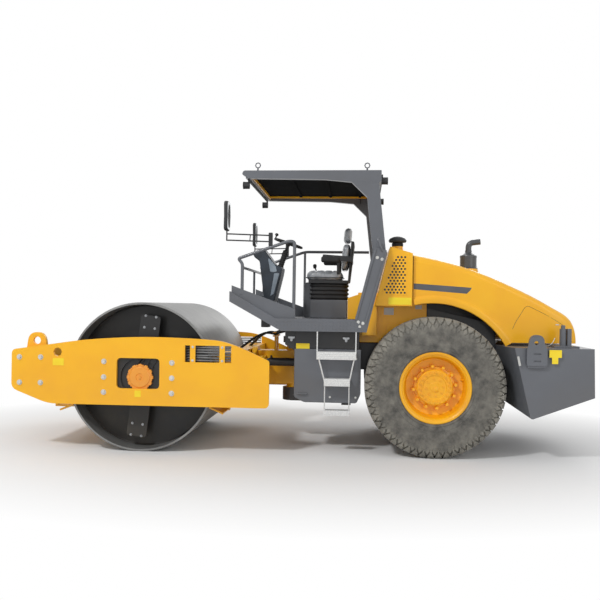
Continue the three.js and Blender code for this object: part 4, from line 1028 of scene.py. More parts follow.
# %% Rims
rim_section = [
    (0.0, 0.166), (0.045, 0.166), (0.050, 0.162), (0.115, 0.162), (0.120, 0.168), (0.172, 0.168),
    (0.180, 0.160), (0.180, 0.125), (0.205, 0.118), (0.210, 0.086), (0.262, 0.086), (0.285, 0.094),
    (0.298, 0.118), (0.302, 0.200), (0.312, 0.222), (0.322, 0.228), (0.330, 0.240), (0.342, 0.247),
    (0.354, 0.247), (0.360, 0.240), (0.358, 0.232), (0.318, 0.231), (0.318, -0.231),
    (0.358, -0.232), (0.360, -0.246), (0.342, -0.247), (0.300, -0.240), (0.300, 0.060),
    (0.110, 0.060), (0.110, 0.022), (0.061, 0.022), (0.061, 0.128), (0.0, 0.128)
]


# Each ring of nuts: how many, its radius, its depth, and a nut's radius and height.
NUTS = (
    (12, 0.212, 0.085, 0.0185, 0.078),
    (18, 0.148, 0.167, 0.0105, 0.022),
    (8, 0.085, 0.161, 0.009, 0.014),
)


def rim(side, name):
    centre = WHEEL_AXIS + Vector((0, side * TYRE_MIDDLE, 0))
    parts = [turned("rim", [(r, side * y) for r, y in rim_section], 128, centre, "Y")]
    for count, radius, depth, size, height in NUTS:
        at = centre + Vector((0, side * depth, 0))
        nuts = around("nuts", bolt(size, height), count, radius, at, side, wheel_yellow, 0.12)
        parts.append(nuts)
    plug = turned(
        "plug", [(0.0, 0.0), (0.022, 0.0), (0.022, 0.010), (0.014, 0.014), (0.0, 0.014)], 16
    )
    parts.append(faced_out(plug, centre + Vector((0.01, side * 0.165, -0.02)), side))
    stand_in(joined(name + "_turned", parts), name, wheel_yellow)
    valve_at = centre + Vector((0.270, side * 0.095, 0.075))
    valve = tube(
        name + "_valve", [valve_at, valve_at + Vector((0.012, side * 0.05, 0.004))], 0.010, 0
    )
    finished(valve, body_of_node[name], wheel_yellow)


for side, name in SIDES:
    rim(side, "rim_" + name)
print("rims, nuts and valves are on")

# %% [markdown]
# ## Cut plate with eased edges
# Frame plates, beams, tanks and panels have the right shape in the CAD model, and only their edges
# are too sharp. A copy of each is merged and bevelled, so that its edges catch the light.

# %% Frame pieces with eased edges
EASED = {
    "side_plate_left": (0.004, yellow), "side_plate_right": (0.004, yellow),
    "front_cross_beam": (0.006, yellow), "rear_cross_beam": (0.006, yellow),
    "scraper_front": (0.003, yellow), "scraper_rear": (0.003, yellow), "hitch": (0.004, yellow),
    "chassis": (0.004, black), "rear_axle": (0.006, black), "tank_left": (0.007, grey),
    "tank_right": (0.007, grey), "engine_block": (0.012, black), "counterweight": (0.008, grey),
    "rops_leg_left": (0.006, grey), "rops_leg_right": (0.006, grey), "canopy": (0.006, grey),
    "seat_base": (0.007, grey), "lever_box": (0.012, grey), "seat_frame": (0.006, trim_plastic),
    "engine_cowl": (0.004, yellow), "console": (0.016, console_plastic)
}
for node, (width, material) in EASED.items():
    stand_in(eased(node, width), node, material)
print(len(EASED), "pieces have eased edges")

# %% [markdown]
# ## Front frame details
# Bolts hold the beams to the side plates. The round motor cover has a notched rim, and its outline
# is a circle with a cosine wave on it. Hoses run to it behind the plate, held by yellow clamp bars.

# %% Bolts and labels on the side plates
PLATE_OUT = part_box("side_plate_right")[1].y
spots = [
    (-2.839, 0.947), (-2.616, 0.949), (-2.835, 0.688), (-2.615, 0.689), (-1.956, 0.918),
    (-1.956, 0.76), (-1.956, 0.607), (-1.256, 0.917), (-1.256, 0.763), (-1.256, 0.609),
]
places = [((x, s * (PLATE_OUT - 0.001), z), (0, s, 0)) for s in (-1, 1) for x, z in spots]
bolted("side_plate_bolts", "front_frame", places, 0.020, 0.020, zinc)
sockets = turned(
    "socket", [(0, 0), (0.030, 0), (0.030, 0.0012), (0.021, 0.0012), (0.021, 0.003), (0, 0.003)], 20
)
finished(copies("bolt_seats", sockets, places, yellow), "front_frame", yellow)


def side_plate(name, body, y, depth, outline, material, holes=(), edge=0.0008):
    """A plate on a side face at y, standing out by a depth."""
    low, high = sorted((y, y + math.copysign(depth, y)))
    return finished(plate(name, "side", low, high, outline, holes, edge), body, material)


def label(name, body, u, v, y, size=(0.05, 0.03), material=label_yellow):
    """A thin blank plate on a side face, with round corners."""
    w, h = size
    side_plate(
        name, body, y, 0.0022, box_outline(u - w, v - h, u + w, v + h, 0.006), material, edge=0.0004
    )


for s, side in SIDES:
    label("plate_label_" + side, "front_frame", -2.43, 0.905, s * PLATE_OUT, (0.058, 0.036))
    label("cover_label_" + side, "front_frame", -1.602, 0.598, s * PLATE_OUT, (0.032, 0.032))
print(len(places), "bolts and four labels on the side plates")


# %% Motor covers and hoses in the window
MOTOR_X, MOTOR_Z = -1.59, 0.762


def lobed(radius, lobes, depth, count=144):
    """A circle whose radius swells smoothly into lobes."""
    points = []
    for a in turns(count):
        r = radius + depth * (0.5 + 0.5 * math.tanh(3 * math.cos(lobes * a)))
        points.append(Vector((MOTOR_X + r * math.cos(a), MOTOR_Z + r * math.sin(a))))
    return points


for s, side in SIDES:
    node = "drum_carrier_" + side
    finished(eased(node), "front_frame", drum_black, (node,))
    low, high = sorted((s * 1.100, s * 1.128))
    rim_plate = plate("motor_rim", "side", low, high, lobed(0.118, 12, 0.014), edge=0.004)
    cap = turned(
        "motor_cap",
        [
            (0, 0), (0.108, 0), (0.108, 0.012), (0.098, 0.020), (0.040, 0.022), (0.036, 0.016),
            (0.018, 0.016), (0.016, 0.026), (0, 0.026)
        ], 48
    )
    faced_out(cap, (MOTOR_X, s * 1.118, MOTOR_Z), s)
    cover = joined("motor_cover_" + side, [rim_plate, cap])
    finished(cover, "front_frame", orange)
    ring_bolts = []
    for a in turns(12, 0.26):
        place = (MOTOR_X + 0.122 * math.cos(a), s * 1.127, MOTOR_Z + 0.122 * math.sin(a))
        ring_bolts.append((place, (0, s, 0)))
    bolted("cover_bolts_" + side, "front_frame", ring_bolts, 0.007, 0.008, orange)
    for k, (dx, dz) in enumerate(((-0.02, 0.13), (0.03, 0.15), (0.085, 0.13), (0.13, 0.09))):
        course = [
            (-1.60 + dx, s * 1.112, 0.765 + dz), (-1.56 + dx, s * 1.122, 0.83 + dz),
            (-1.47 + dx * 0.6, s * 1.108, 0.93 + dz * 0.4)
        ]
        hose = tube(f"motor_hose_{side}_{k}", course, 0.010, 0.05)
        finished(hose, "front_frame", hose_rubber)
print("motor covers with twelve lobes")

# %% [markdown]
# The hose run behind the plate's slot is six hoses in a row, from the hitch to the motor. They are
# tubes along soft bends, and two yellow bars with a bolt at each end clamp them.

# %% Clamped hoses behind the slot
for s, side in SIDES:
    hoses = []
    for k in range(6):
        z = 0.945 + k * 0.0265
        wave = 0.004 * math.sin(k * 2.4)
        course = [
            (-1.17, s * 1.098, z - 0.008), (-1.08, s * 1.102, z), (-0.97, s * 1.128, z + wave),
            (-0.86, s * 1.1335, z), (-0.745, s * 1.1335, z - wave), (-0.662, s * 1.1335, z + 0.003)
        ]
        hoses.append(tube("hose", course, 0.009, 0.06))
    run = joined("hose_run_" + side, hoses)
    finished(run, "front_frame", hose_sleeve)
    bars, tops = [], []
    for x in (-1.045, -0.745):
        low, high = sorted((s * 1.1455, s * 1.1525))
        shape = box_outline(x - 0.026, 0.920, x + 0.026, 1.101, 0.004)
        bars.append(plate("bar", "side", low, high, shape))
        tops += [((x, s * 1.152, z), (0, s, 0)) for z in (0.945, 1.080)]
    finished(joined("hose_clamps_" + side, bars), "front_frame", yellow)
    bolted("clamp_bolts_" + side, "front_frame", tops, 0.009, 0.008, zinc)
print("hoses and clamps behind the slots")

# %% [markdown]
# ## Hood
# The hood is one long moulded shell. Its top line falls in a smooth curve to a blunt tail, its
# edges are round, and a wheel arch rises in each side. It is lofted: one section for each step
# along the top line, and each section's foot stops at the arch. Solidify then gives the shell its
# wall, and two notches leave room for the hinge's ears.

# %% Hood shell
hood_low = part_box("hood")[0]
ARCH_R = 0.845
HOOD_HALF = 0.7
HOOD_FOOT = hood_low.z
HOOD_FRONT = 1.174
EDGE_R = 0.075
CROWN = 0.006
TOP_LINE = [
    (1.174, 2.0615), (1.42, 2.012), (1.651, 1.953), (1.90, 1.866), (2.13, 1.769), (2.40, 1.642),
    (2.64, 1.510), (2.72, 1.467), (2.775, 1.426), (2.815, 1.378), (2.838, 1.325), (2.850, 1.262),
    (2.8505, 1.20)
]


def top_height(x):
    """The height of the top line, by a smooth curve through its points."""
    passed = sum(1 for along, _ in TOP_LINE if along <= x)
    i = max(0, min(len(TOP_LINE) - 2, passed - 1))
    (x0, z0), (x1, z1) = TOP_LINE[i], TOP_LINE[i + 1]
    before = TOP_LINE[max(i - 1, 0)]
    after = TOP_LINE[min(i + 2, len(TOP_LINE) - 1)]
    m0 = (z1 - before[1]) / (x1 - before[0])
    m1 = (after[1] - z0) / max(after[0] - x0, 1e-4)
    t, h = (x - x0) / (x1 - x0), x1 - x0
    a, b = 2 * t**3 - 3 * t**2 + 1, t**3 - 2 * t**2 + t
    return a * z0 + b * h * m0 + (1 - a) * z1 + (t**3 - t**2) * h * m1


def arch_height(x):
    reach = ARCH_R**2 - (x - WHEEL_AXIS.x) ** 2
    return max(HOOD_FOOT, WHEEL_AXIS.z + math.sqrt(reach)) if reach > 0 else HOOD_FOOT


def hood_sections():
    over_arch = [WHEEL_AXIS.x + ARCH_R * math.cos(math.radians(104.4 - 2.6 * k)) for k in range(28)]
    even = [HOOD_FRONT + 0.045 * k for k in range(37)]
    tail_steps = [2.70, 2.74, 2.775, 2.80, 2.82, 2.835, 2.845, 2.850]
    steps = sorted(
        {round(x, 4) for x in over_arch + even + tail_steps if HOOD_FRONT <= x <= 2.8501}
    )
    rings = []
    for x in steps:
        top, foot = top_height(x), arch_height(x)
        narrow = 0.06 * max(0.0, (x - 2.535) / 0.315) ** 2
        width, r = HOOD_HALF - narrow, EDGE_R
        half = [(width, foot + (top - r - foot) * k / 8) for k in range(9)]
        for a in [math.radians(15 * k) for k in range(1, 7)]:
            half.append((width - r + r * math.cos(a), top - r + r * math.sin(a)))
        for k in range(1, 6):
            half.append(((width - r) * (1 - k / 6), top + CROWN * math.sin(math.pi / 2 * k / 6)))
        other = [(-y, z) for y, z in reversed(half)]
        rings.append([Vector((x, y, z)) for y, z in half + [(0.0, top + CROWN)] + other])
    return rings


rings = hood_sections()
n = len(rings[0])
points = [p for ring_points in rings for p in ring_points]
tail_end = tuple(range((len(rings) - 1) * n, len(rings) * n))
hood = mesh_of("hood_shell", points, walls(len(rings), n, closed=False) + [tail_end])
if hood.data.polygons[len(hood.data.polygons) // 2].normal.z < 0:
    hood.data.flip_normals()
skin = hood.modifiers.new("wall", "SOLIDIFY")
skin.thickness, skin.offset = 0.006, -1
hood = applied(hood, 40)
for s in (-1, 1):
    notch = side_block("notch", s, (2.735, 0.533, 1.120), (2.880, 0.5695, 1.268), 0.010)
    cut = hood.modifiers.new("notch", "BOOLEAN")
    cut.operation, cut.object, cut.solver = "DIFFERENCE", notch, "EXACT"
    hood = applied(hood, 40)
    bpy.data.objects.remove(notch)
print("the hood has", len(rings), "sections of", n, "points")

# %% [markdown]
# A raised band follows the arch on each side. Its section is swept round the wheel's axis.


# %% Arch bands, stripes and seams
def swept_arc(name, section, centre, start, end, steps):
    """A section of (radius, y) points swept round the wheel's axis through part of a turn."""
    points = []
    for i in range(steps + 1):
        a = start + (end - start) * i / steps
        points += [
            Vector((centre.x + r * math.cos(a), y, centre.z + r * math.sin(a))) for r, y in section
        ]
    m = len(section)
    faces = walls(steps + 1, m) + [tuple(range(m)), tuple(range(steps * m, (steps + 1) * m))]
    return mesh_of(name, points, faces, 50)


arch_start = math.asin((HOOD_FOOT + 0.001 - WHEEL_AXIS.z) / 0.925)
arch_end = math.acos((hood_low.x + 0.008 - WHEEL_AXIS.x) / ARCH_R) - 0.015
bands = [hood]
band = [
    (0.846, 0.690), (0.846, 0.712), (0.850, 0.7195), (0.862, 0.722),
    (0.895, 0.7215), (0.908, 0.717), (0.922, 0.706), (0.932, 0.6985),
]
for s in (-1, 1):
    section = [(r, s * y) for r, y in band]
    bands.append(swept_arc("band", section, WHEEL_AXIS, arch_start, arch_end, 72))
STACK_X, STACK_Y = 1.797, -0.25
boss = turned(
    "boss", [(0.0, -0.10), (0.125, -0.10), (0.104, -0.02), (0.098, 0.0), (0.0, 0.0)], 48,
    (STACK_X, STACK_Y, 1.95)
)
lug = rounded([(2.774, 1.174, 0.02), (2.774, 1.226, 0.02), (2.846, 1.226), (2.846, 1.174)])
hinge_lugs = [plate("lug", "side", *sorted((s * 0.571, s * 0.591)), lug) for s in (-1, 1)]
hood = joined("hood_moulded", bands + [boss] + hinge_lugs)
finished(hood, "hood", yellow, ("hood",))

for s, side in SIDES:
    outline = rounded(
        [(1.178, 1.700), (1.725, 1.660), (1.755, 1.690), (1.775, 1.722), (1.178, 1.760)]
    )
    side_plate("hood_stripe_" + side, "hood", s * 0.6995, 0.0017, outline, stripe_grey, edge=0.0003)
    course = [
        (2.195, s * 0.7001, 1.300), (2.225, s * 0.7001, 1.372), (2.320, s * 0.7001, 1.530),
        (2.350, s * 0.7001, 1.542), (2.52, s * 0.7001, 1.460), (2.64, s * 0.6938, 1.392),
        (2.735, s * 0.6765, 1.335)
    ]
    finished(tube("door_seam_" + side, course, 0.0018, 0.03), "hood", black)
print("arch bands, stripes and seams are on the hood")

# %% [markdown]
# Air leaves through louvres in the tail. Each louvre is a bent slat, and the places tree repeats it
# down the slope of the hood's back.

# %% Tail louvres
slat = mesh_of(
    "slat",
    [
        (-0.30, -0.012, 0), (0.30, -0.012, 0), (0.30, 0.010, 0.014), (-0.30, 0.010, 0.014),
        (-0.30, 0.013, 0.009), (0.30, 0.013, 0.009), (0.30, -0.010, -0.003), (-0.30, -0.010, -0.003)
    ], [(0, 1, 2, 3), (3, 2, 5, 4), (4, 5, 6, 7), (7, 6, 1, 0), (0, 3, 4, 7), (1, 6, 5, 2)]
)
slope = [(x, top_height(x) + CROWN) for x in [2.18 + 0.030 * k for k in range(15)]]
places = []
for (x0, z0), (x1, z1) in zip(slope, slope[1:]):
    rise = Vector((x1 - x0, 0, z1 - z0)).normalized()
    places.append(((x0, 0, z0 + 0.002), (-rise.z, 0, rise.x), (0, 1, 0.001)))
finished(copies("tail_louvres", slat, places, black), "hood", black)
frame_bars = []
for y in (-0.315, 0.315):
    frame_bars.append(tube("bar", [(x, y, z + 0.004) for x, z in slope], 0.009, 0))
for x, z in (slope[0], slope[-1]):
    frame_bars.append(tube("bar", [(x, -0.315, z + 0.004), (x, 0.315, z + 0.004)], 0.009, 0))
finished(joined("louvre_frame", frame_bars), "hood", black)
print(len(places), "louvres in the tail")

# %% [markdown]
# ## Muffler and air pre-cleaner
# Both are turned. The exhaust pipe is a tube with one bend and an open end, so its wall is swept
# twice: once outside and once inside.

# %% Muffler
can = turned(
    "can",
    [
        (0, 0), (0.090, 0), (0.0915, 0.004), (0.0915, 0.020), (0.0895, 0.024), (0.0895, 0.106),
        (0.0915, 0.110), (0.0915, 0.126), (0.088, 0.134), (0.045, 0.160), (0.036, 0.168),
        (0.036, 0.190), (0, 0.190)
    ], 64, (STACK_X, STACK_Y, 1.951)
)
course = bent(
    [(STACK_X, STACK_Y, 2.11), (STACK_X, STACK_Y, 2.224), (STACK_X + 0.125, STACK_Y, 2.239)], 0.085,
    14
)


def pipe_wall(name, course, outer, inner, sides=32):
    """A pipe with a real wall and an open far end."""
    rings, up = [], Vector((0, 1, 0))
    for radius, order in ((outer, course), (inner, list(reversed(course)))):
        for i, here in enumerate(order):
            back, on = order[max(i - 1, 0)], order[min(i + 1, len(order) - 1)]
            way = (on - back).normalized()
            if radius == inner:
                way = -way
            other = way.cross(up).normalized()
            rings.append(
                [here + (up * math.cos(a) + other * math.sin(a)) * radius for a in turns(sides)]
            )
    points = [p for row in rings for p in row]
    faces = walls(len(rings), sides)
    last = (len(rings) - 1) * sides
    faces += [(last + k, last + (k + 1) % sides, (k + 1) % sides, k) for k in range(sides)]
    return mesh_of(name, points, faces, 50)


exhaust = pipe_wall("exhaust", course, 0.032, 0.028)
skirt = turned(
    "skirt",
    [
        (0.0992, 1.880), (0.1010, 1.880), (0.1010, 1.9505), (0.0930, 1.9560), (0.0930, 1.9512),
        (0.0992, 1.9490)
    ], 64, (STACK_X, STACK_Y, 0), closed=True
)
muffler_paint = enamel(
    "muffler_paint", "grey_paint", srgb(72, 74, 76), srgb(50, 51, 53), 0.3, 0.1, 0.3
)
finished(joined("muffler_turned", [can, exhaust, skirt]), "hood", muffler_paint, ("muffler",))
CLEANER = Vector((1.015, -0.45, 2.1405))
cap = turned(
    "pre_cleaner_cap",
    [
        (0, 0.0), (0.052, 0.0), (0.054, 0.012), (0.050, 0.016), (0.050, 0.060), (0.088, 0.066),
        (0.0945, 0.074), (0.096, 0.084), (0.093, 0.092), (0.080, 0.108), (0.045, 0.124),
        (0.018, 0.129), (0, 0.1295)
    ], 64, CLEANER
)
fins = block("fin", (-0.003, 0, 0), (0.003, 0.010, 0.034), 0.001, 1)
fins.data.transform(Matrix.Translation((0, 0.0505, 0.022)))
fins.data.transform(Matrix.Rotation(math.radians(-90), 4, "Z"))
vanes = around("vanes", fins, 24, 0.0, (0, 0, 0), -1, soft_rubber)
vanes.data.transform(Matrix.Translation(CLEANER) @ Matrix.Rotation(math.radians(-90), 4, "X"))
collar = turned(
    "collar", [(0.0528, 0), (0.0580, 0), (0.0580, 0.020), (0.0560, 0.024), (0.0528, 0.024)], 48,
    CLEANER - Vector((0, 0, 0.0002)), closed=True
)
finished(collar, "rear_frame", yellow)
finished(joined("pre_cleaner_turned", [cap, vanes]), "rear_frame", trim_plastic, ("pre_cleaner",))
print("muffler and pre-cleaner are turned")

# %% [markdown]
# ## Cowl and engine bay
# Behind the driver, cooling air goes in through a perforated panel on each side of the cowl. The
# panel is one sheet with staggered holes, over a black sheet of painted shade that darkens the
# holes.
# Inner panels close the engine bay from the wheels, and a black sheet deeper in is painted shade.

# %% Perforated panels and inner panels
COWL_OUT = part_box("engine_cowl")[1].y
panel = rounded(
    [(0.845, 1.638, 0.012), (1.102, 1.638, 0.012), (1.102, 2.055, 0.012), (0.975, 2.055, 0.012)]
)
holes = []
for row in range(13):
    z = 1.660 + row * 0.0308
    for k in range(7):
        x = 1.082 - 0.0185 * (row % 2) - k * 0.037
        if x > 0.866 + 0.112 * row / 12:
            holes.append(ring(x, z, 0.0118, 14))
for s, side in SIDES:
    # The black sheet under the holes is painted shade, for the dark inside of the cowl seen through
    # them.
    side_plate(
        "panel_backing_" + side, "rear_frame", s * (COWL_OUT + 0.0003), 0.0010, panel, black,
        edge=0.0002
    )
    side_plate(
        "perforated_panel_" + side, "rear_frame", s * (COWL_OUT + 0.0014), 0.0026, panel, yellow,
        holes, 0.0005
    )
    label("cowl_label_" + side, "rear_frame", 1.034, 1.573, s * COWL_OUT, (0.118, 0.037))
    wall = box_outline(0.60, 1.130, 1.33, 1.66, 0.01)
    side_plate("bay_panel_" + side, "rear_frame", s * 0.500, 0.006, wall, yellow)
    label("bay_plate_" + side, "rear_frame", 0.930, 1.465, s * 0.506, (0.052, 0.038), plate_white)
    step = rounded(
        [(0.90, 1.215, 0.01), (1.30, 1.215, 0.01), (1.30, 1.335, 0.01), (0.915, 1.335, 0.01)]
    )
    side_plate("bay_step_" + side, "rear_frame", s * 0.506, 0.010, step, yellow)
    label("bay_box_" + side, "rear_frame", 1.245, 1.513, s * 0.506, (0.034, 0.020), plate_white)
    label("bay_mark_" + side, "rear_frame", 1.905, 1.165, s * 0.492, (0.022, 0.030))
    # A black sheet deep in the bay, under the hood: painted shade, not a real panel.
    side_plate(
        "bay_shade_" + side, "rear_frame", s * 0.486, 0.006,
        rounded([(1.34, 1.0), (2.06, 1.0), (2.06, 1.34), (1.34, 1.50)]), black
    )
print(len(holes), "holes in each panel")

# %% [markdown]
# ## Roll-over legs and canopy
# Each leg is a channel, so its two edges stand out as flanges, and a bent grab bar stands at the
# knee. The roof's underside is black, with a yellow beam at the front and one down each side.

# %% Flanges, bolts and roof lining
LEG_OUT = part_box("rops_leg_right")[1].y
LEG_EDGES = (((0.773, 2.100), (0.583, 1.372)), ((0.880, 2.045), (0.681, 1.348)))


def strip(a, b, width):
    """The outline of a flat bar between two points."""
    a, b = Vector(a), Vector(b)
    side = (b - a).normalized().orthogonal() * width / 2
    return [a + side, b + side, b - side, a - side]


places = []
for s, side in SIDES:
    for k, (a, b) in enumerate(LEG_EDGES):
        flange = strip(a, b, 0.015)
        side_plate(
            f"leg_flange_{side}_{k}", "rear_frame", s * LEG_OUT, 0.012, flange, grey, edge=0.003
        )
    grab = [
        (0.795, s * (LEG_OUT - 0.004), 2.215), (0.800, s * (LEG_OUT + 0.016), 2.185),
        (0.825, s * (LEG_OUT + 0.016), 2.11), (0.845, s * (LEG_OUT - 0.004), 2.07)
    ]
    finished(tube("leg_grab_" + side, grab, 0.009, 0.02), "rear_frame", grey)
    for x, z in ((0.791, 2.011), (0.84, 1.994), (0.607, 1.352), (0.655, 1.340), (0.620, 1.305)):
        places.append(((x, s * LEG_OUT, z), (0, s, 0)))
    loop = [
        (0.60, s * 0.79, 2.876), (0.615, s * 0.80, 2.76), (0.665, s * 0.80, 2.71),
        (0.712, s * 0.80, 2.74), (0.735, s * 0.80, 2.83)
    ]
    finished(tube("lamp_wire_" + side, loop, 0.006, 0.03), "rear_frame", hose_rubber)
bolted("leg_bolts", "rear_frame", places, 0.012, 0.012, zinc)
ROOF_UNDER = 2.8815
# The roof lining and ribs take a darker copy of the black paint: painted shade under the roof. Its
# dull, low sheen is the lining's own.
roof_black = moulded(
    "roof_black", "black_paint", srgb(26, 27, 29), srgb(17, 18, 19), 0.92, 120, 0.0002
)
roof_shader = roof_black.node_tree.nodes["Principled BSDF"]
roof_shader.inputs["Specular IOR Level"].default_value = 0.05
lining = block(
    "roof_lining", (-0.57, -0.788, ROOF_UNDER - 0.007), (0.785, 0.788, ROOF_UNDER), 0.002
)
finished(lining, "rear_frame", roof_black)
beams = [block("beam", (-0.555, -0.786, 2.838), (-0.515, 0.786, 2.8742), 0.004)]
for s in (-1, 1):
    beams.append(side_block("beam", s, (-0.513, 0.740, 2.852), (0.700, 0.786, 2.8742), 0.004))
finished(joined("roof_beams", beams), "rear_frame", yellow)
cross = [
    block("rib", (x, -0.735, 2.858), (x + 0.035, 0.735, 2.8742), 0.003) for x in (-0.15, 0.22, 0.58)
]
finished(joined("roof_ribs", cross), "rear_frame", roof_black)
print("roof lining and", len(places), "leg bolts")

# %% [markdown]
# ## Work lamps
# Each lamp has a turned rim round its glass, and faces away from the roof.

# %% Work lamps
LAMPS = (("work_lights_front", -0.6148, 2.765, -1), ("work_lights_rear", 0.8885, 2.815, 1))
for node, x, z, s in LAMPS:
    stand_in(eased(node, 0.003), node)
    rims, glasses = [], []
    for y in (-0.770, 0.770):
        low = x - s * 0.010
        lip = [
            (0.0275, low), (0.0375, low), (0.0385, x + s * 0.003), (0.031, x + s * 0.0045),
            (0.0275, x + s * 0.001),
        ]
        rims.append(turned("rim", lip, 40, (0, y, z), "X", closed=True))
        dome = [
            (0, x - s * 0.004), (0.028, x - s * 0.004), (0.028, x + s * 0.0005),
            (0.014, x + s * 0.0028), (0, x + s * 0.0034),
        ]
        glasses.append(turned("glass", dome, 40, (0, y, z), "X"))
    finished(joined(node + "_rims", rims), "rear_frame", soft_rubber)
    finished(joined(node + "_glass", glasses), "rear_frame", lamp_lens)
print("work lamps have glass")

# %% [markdown]
# ## Handrails, ladder and platform
# The rails are round tube with bent corners and flanged feet. The ladder's steps have studs for
# grip. A raised chequer pattern covers the floor and the platform's sides.

# %% Handrails
RAIL_FEET = (1.6215, 1.3758)


def rail(name, runs, replaced):
    parts = [tube("run", points, radius, bend, 4) for points, radius, bend in runs]
    feet = []
    for points, radius, bend in runs:
        for end in (points[0], points[-1]):
            if min(abs(end[2] - z) for z in RAIL_FEET) < 0.002:
                feet.append(
                    turned(
                        "foot",
                        [
                            (0, 0), (radius + 0.016, 0), (radius + 0.016, 0.007),
                            (radius + 0.004, 0.010), (0, 0.010)
                        ], 32, end
                    )
                )
    stand_in(joined(name, parts + feet), replaced)


y, front = 0.8627, -0.6005
rail(
    "handrail_left_tube",
    [
        (
            [
                (front, -y, 1.6215), (front, -y, 1.945), (-0.6485, -y, 1.990), (-0.1195, -y, 2.176),
                (-0.0595, -y, 2.169), (-0.0595, -y, 1.3758)
            ], 0.017, 0.05
        ), ([(front, -y, 1.900), (front, 0.8454, 1.900)], 0.015, 0),
        ([(front, 0, 1.597), (front, 0, 1.900)], 0.013, 0)
    ], "handrail_left"
)
rail(
    "handrail_right_tube",
    [
        (
            [
                (front, y, 1.6215), (front, y, 1.945), (-0.6485, y, 1.990), (-0.0825, y, 2.189),
                (0.7215, 0.8327, 2.189)
            ], 0.017, 0.05
        ), ([(-0.0825, y, 1.3758), (-0.0825, y, 2.186)], 0.015, 0)
    ], "handrail_right"
)
print("handrails are bent tube")

# %% Ladder and platform
stand_in(eased("ladder", 0.009, 3), "ladder")
stud = turned(
    "stud", [(0, -0.001), (0.0065, -0.001), (0.0058, 0.0022), (0.003, 0.0035), (0, 0.0035)], 12
)
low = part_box("ladder")[0]
places = []
for first, pitch, count, heights in (
    (0.205, 0.0217, 18, (0.985, 1.004, 1.023)),
    (0.284, 0.0212, 12, (0.714, 0.733, 0.752)),
    (0.284, 0.0212, 12, (0.412, 0.430)),
):
    for k in range(count):
        places += [((first + pitch * k, low.y + 0.0008, z), (0, -1, 0)) for z in heights]
finished(copies("ladder_studs", stud, places, bright), "rear_frame", bright)

stand_in(eased("platform", 0.004), "platform")
floor_paint = OF_SLOT[slot_of_node["platform"]]
lozenge = mesh_of(
    "lozenge",
    [
        (-0.016, 0, 0), (0, -0.0045, 0), (0.016, 0, 0), (0, 0.0045, 0), (-0.010, 0, 0.002),
        (0, -0.002, 0.0024), (0.010, 0, 0.002), (0, 0.002, 0.0024)
    ], [(3, 2, 1, 0), (4, 5, 6, 7), (0, 1, 5, 4), (1, 2, 6, 5), (2, 3, 7, 6), (3, 0, 4, 7)]
)
FLOOR_TOP = 1.375
places = []
for i in range(22):
    for j in range(14):
        x, y = -0.20 + i * 0.036, -0.88 + j * 0.036
        places.append(((x, y, FLOOR_TOP - 0.0004), (0, 0, 1), (1, 1 if (i + j) % 2 else -1, 0)))
for i in range(24):
    for j in range(3):
        for s in (-1, 1):
            places.append(
                (
                    (-0.225 + i * 0.036, s * 0.9296, 1.277 + j * 0.033), (0, s, 0),
                    (1, 0, 1 if (i + j) % 2 else -1)
                )
            )
finished(copies("chequer", lozenge, places, floor_paint), "rear_frame", floor_paint)
print("ladder studs and", len(places), "chequer marks")

# %% [markdown]
# ## Mirrors, console and controls
# A mirror's head is lofted through rounded levels, and hangs on a pair of thin arms. The console is
# the frame's own shape with soft edges and pale panes set in. The steering column wears a folded
# boot, and the wheel's rim, hub and knob are turned.

# %% Mirrors
def round_box(x, y, half_x, half_y, z, corner, count=48):
    """One level of a box with round corners."""
    row = []
    for a in turns(count):
        c, d = math.cos(a), math.sin(a)
        row.append(
            Vector(
                (
                    x + half_x * math.copysign(abs(c) ** corner, c),
                    y + half_y * math.copysign(abs(d) ** corner, d), z
                )
            )
        )
    return row


def lofted(name, rows, angle=50):
    count = len(rows[0])
    points = [q for row in rows for q in row]
    faces = walls(len(rows), count) + [
        tuple(range(count)), tuple(range((len(rows) - 1) * count, len(rows) * count))
    ]
    return mesh_of(name, points, faces, angle)


for s, node in ((-1, "mirror_left"), (1, "mirror_right")):
    head = [
        round_box(
            -0.7445 + 0.004 * math.sin(math.pi * t), s * 1.005, 0.0235 * w, 0.090 * w,
            2.262 + 0.303 * t, 0.5
        )
        for t, w in (
            (0, 0.35), (0.012, 0.68), (0.05, 0.90), (0.12, 0.99), (0.5, 1.0), (0.88, 0.99),
            (0.95, 0.90), (0.988, 0.68), (1, 0.35)
        )
    ]
    bracket = side_block("bracket", s, (-0.330, 0.846, 2.119), (-0.288, 0.882, 2.262), 0.008)
    parts = [lofted("head", head), bracket]
    for z in (2.168, 2.232):
        parts.append(
            tube(
                "arm", [(-0.300, s * 0.864, z), (-0.700, s * 1.003, z), (-0.7425, s * 1.005, z)],
                0.0072, 0.02
            )
        )
    parts.append(tube("arm", [(-0.7425, s * 1.005, 2.163), (-0.7425, s * 1.005, 2.275)], 0.0072, 0))
    parts.append(tube("arm", [(-0.515, s * 0.939, 2.168), (-0.510, s * 0.939, 2.232)], 0.005, 0))
    finished(joined(node + "_moulded", parts), "rear_frame", trim_plastic, (node,))
    pane = rounded(
        [
            (s * 0.928, 2.276, 0.025), (s * 1.082, 2.276, 0.025), (s * 1.082, 2.552, 0.025),
            (s * 0.928, 2.552, 0.025)
        ]
    )
    glass = plate(node + "_glass", "front", -0.7232, -0.7200, pane, edge=0.0006)
    finished(glass, "rear_frame", mirror_glass)
print("mirrors have glass")

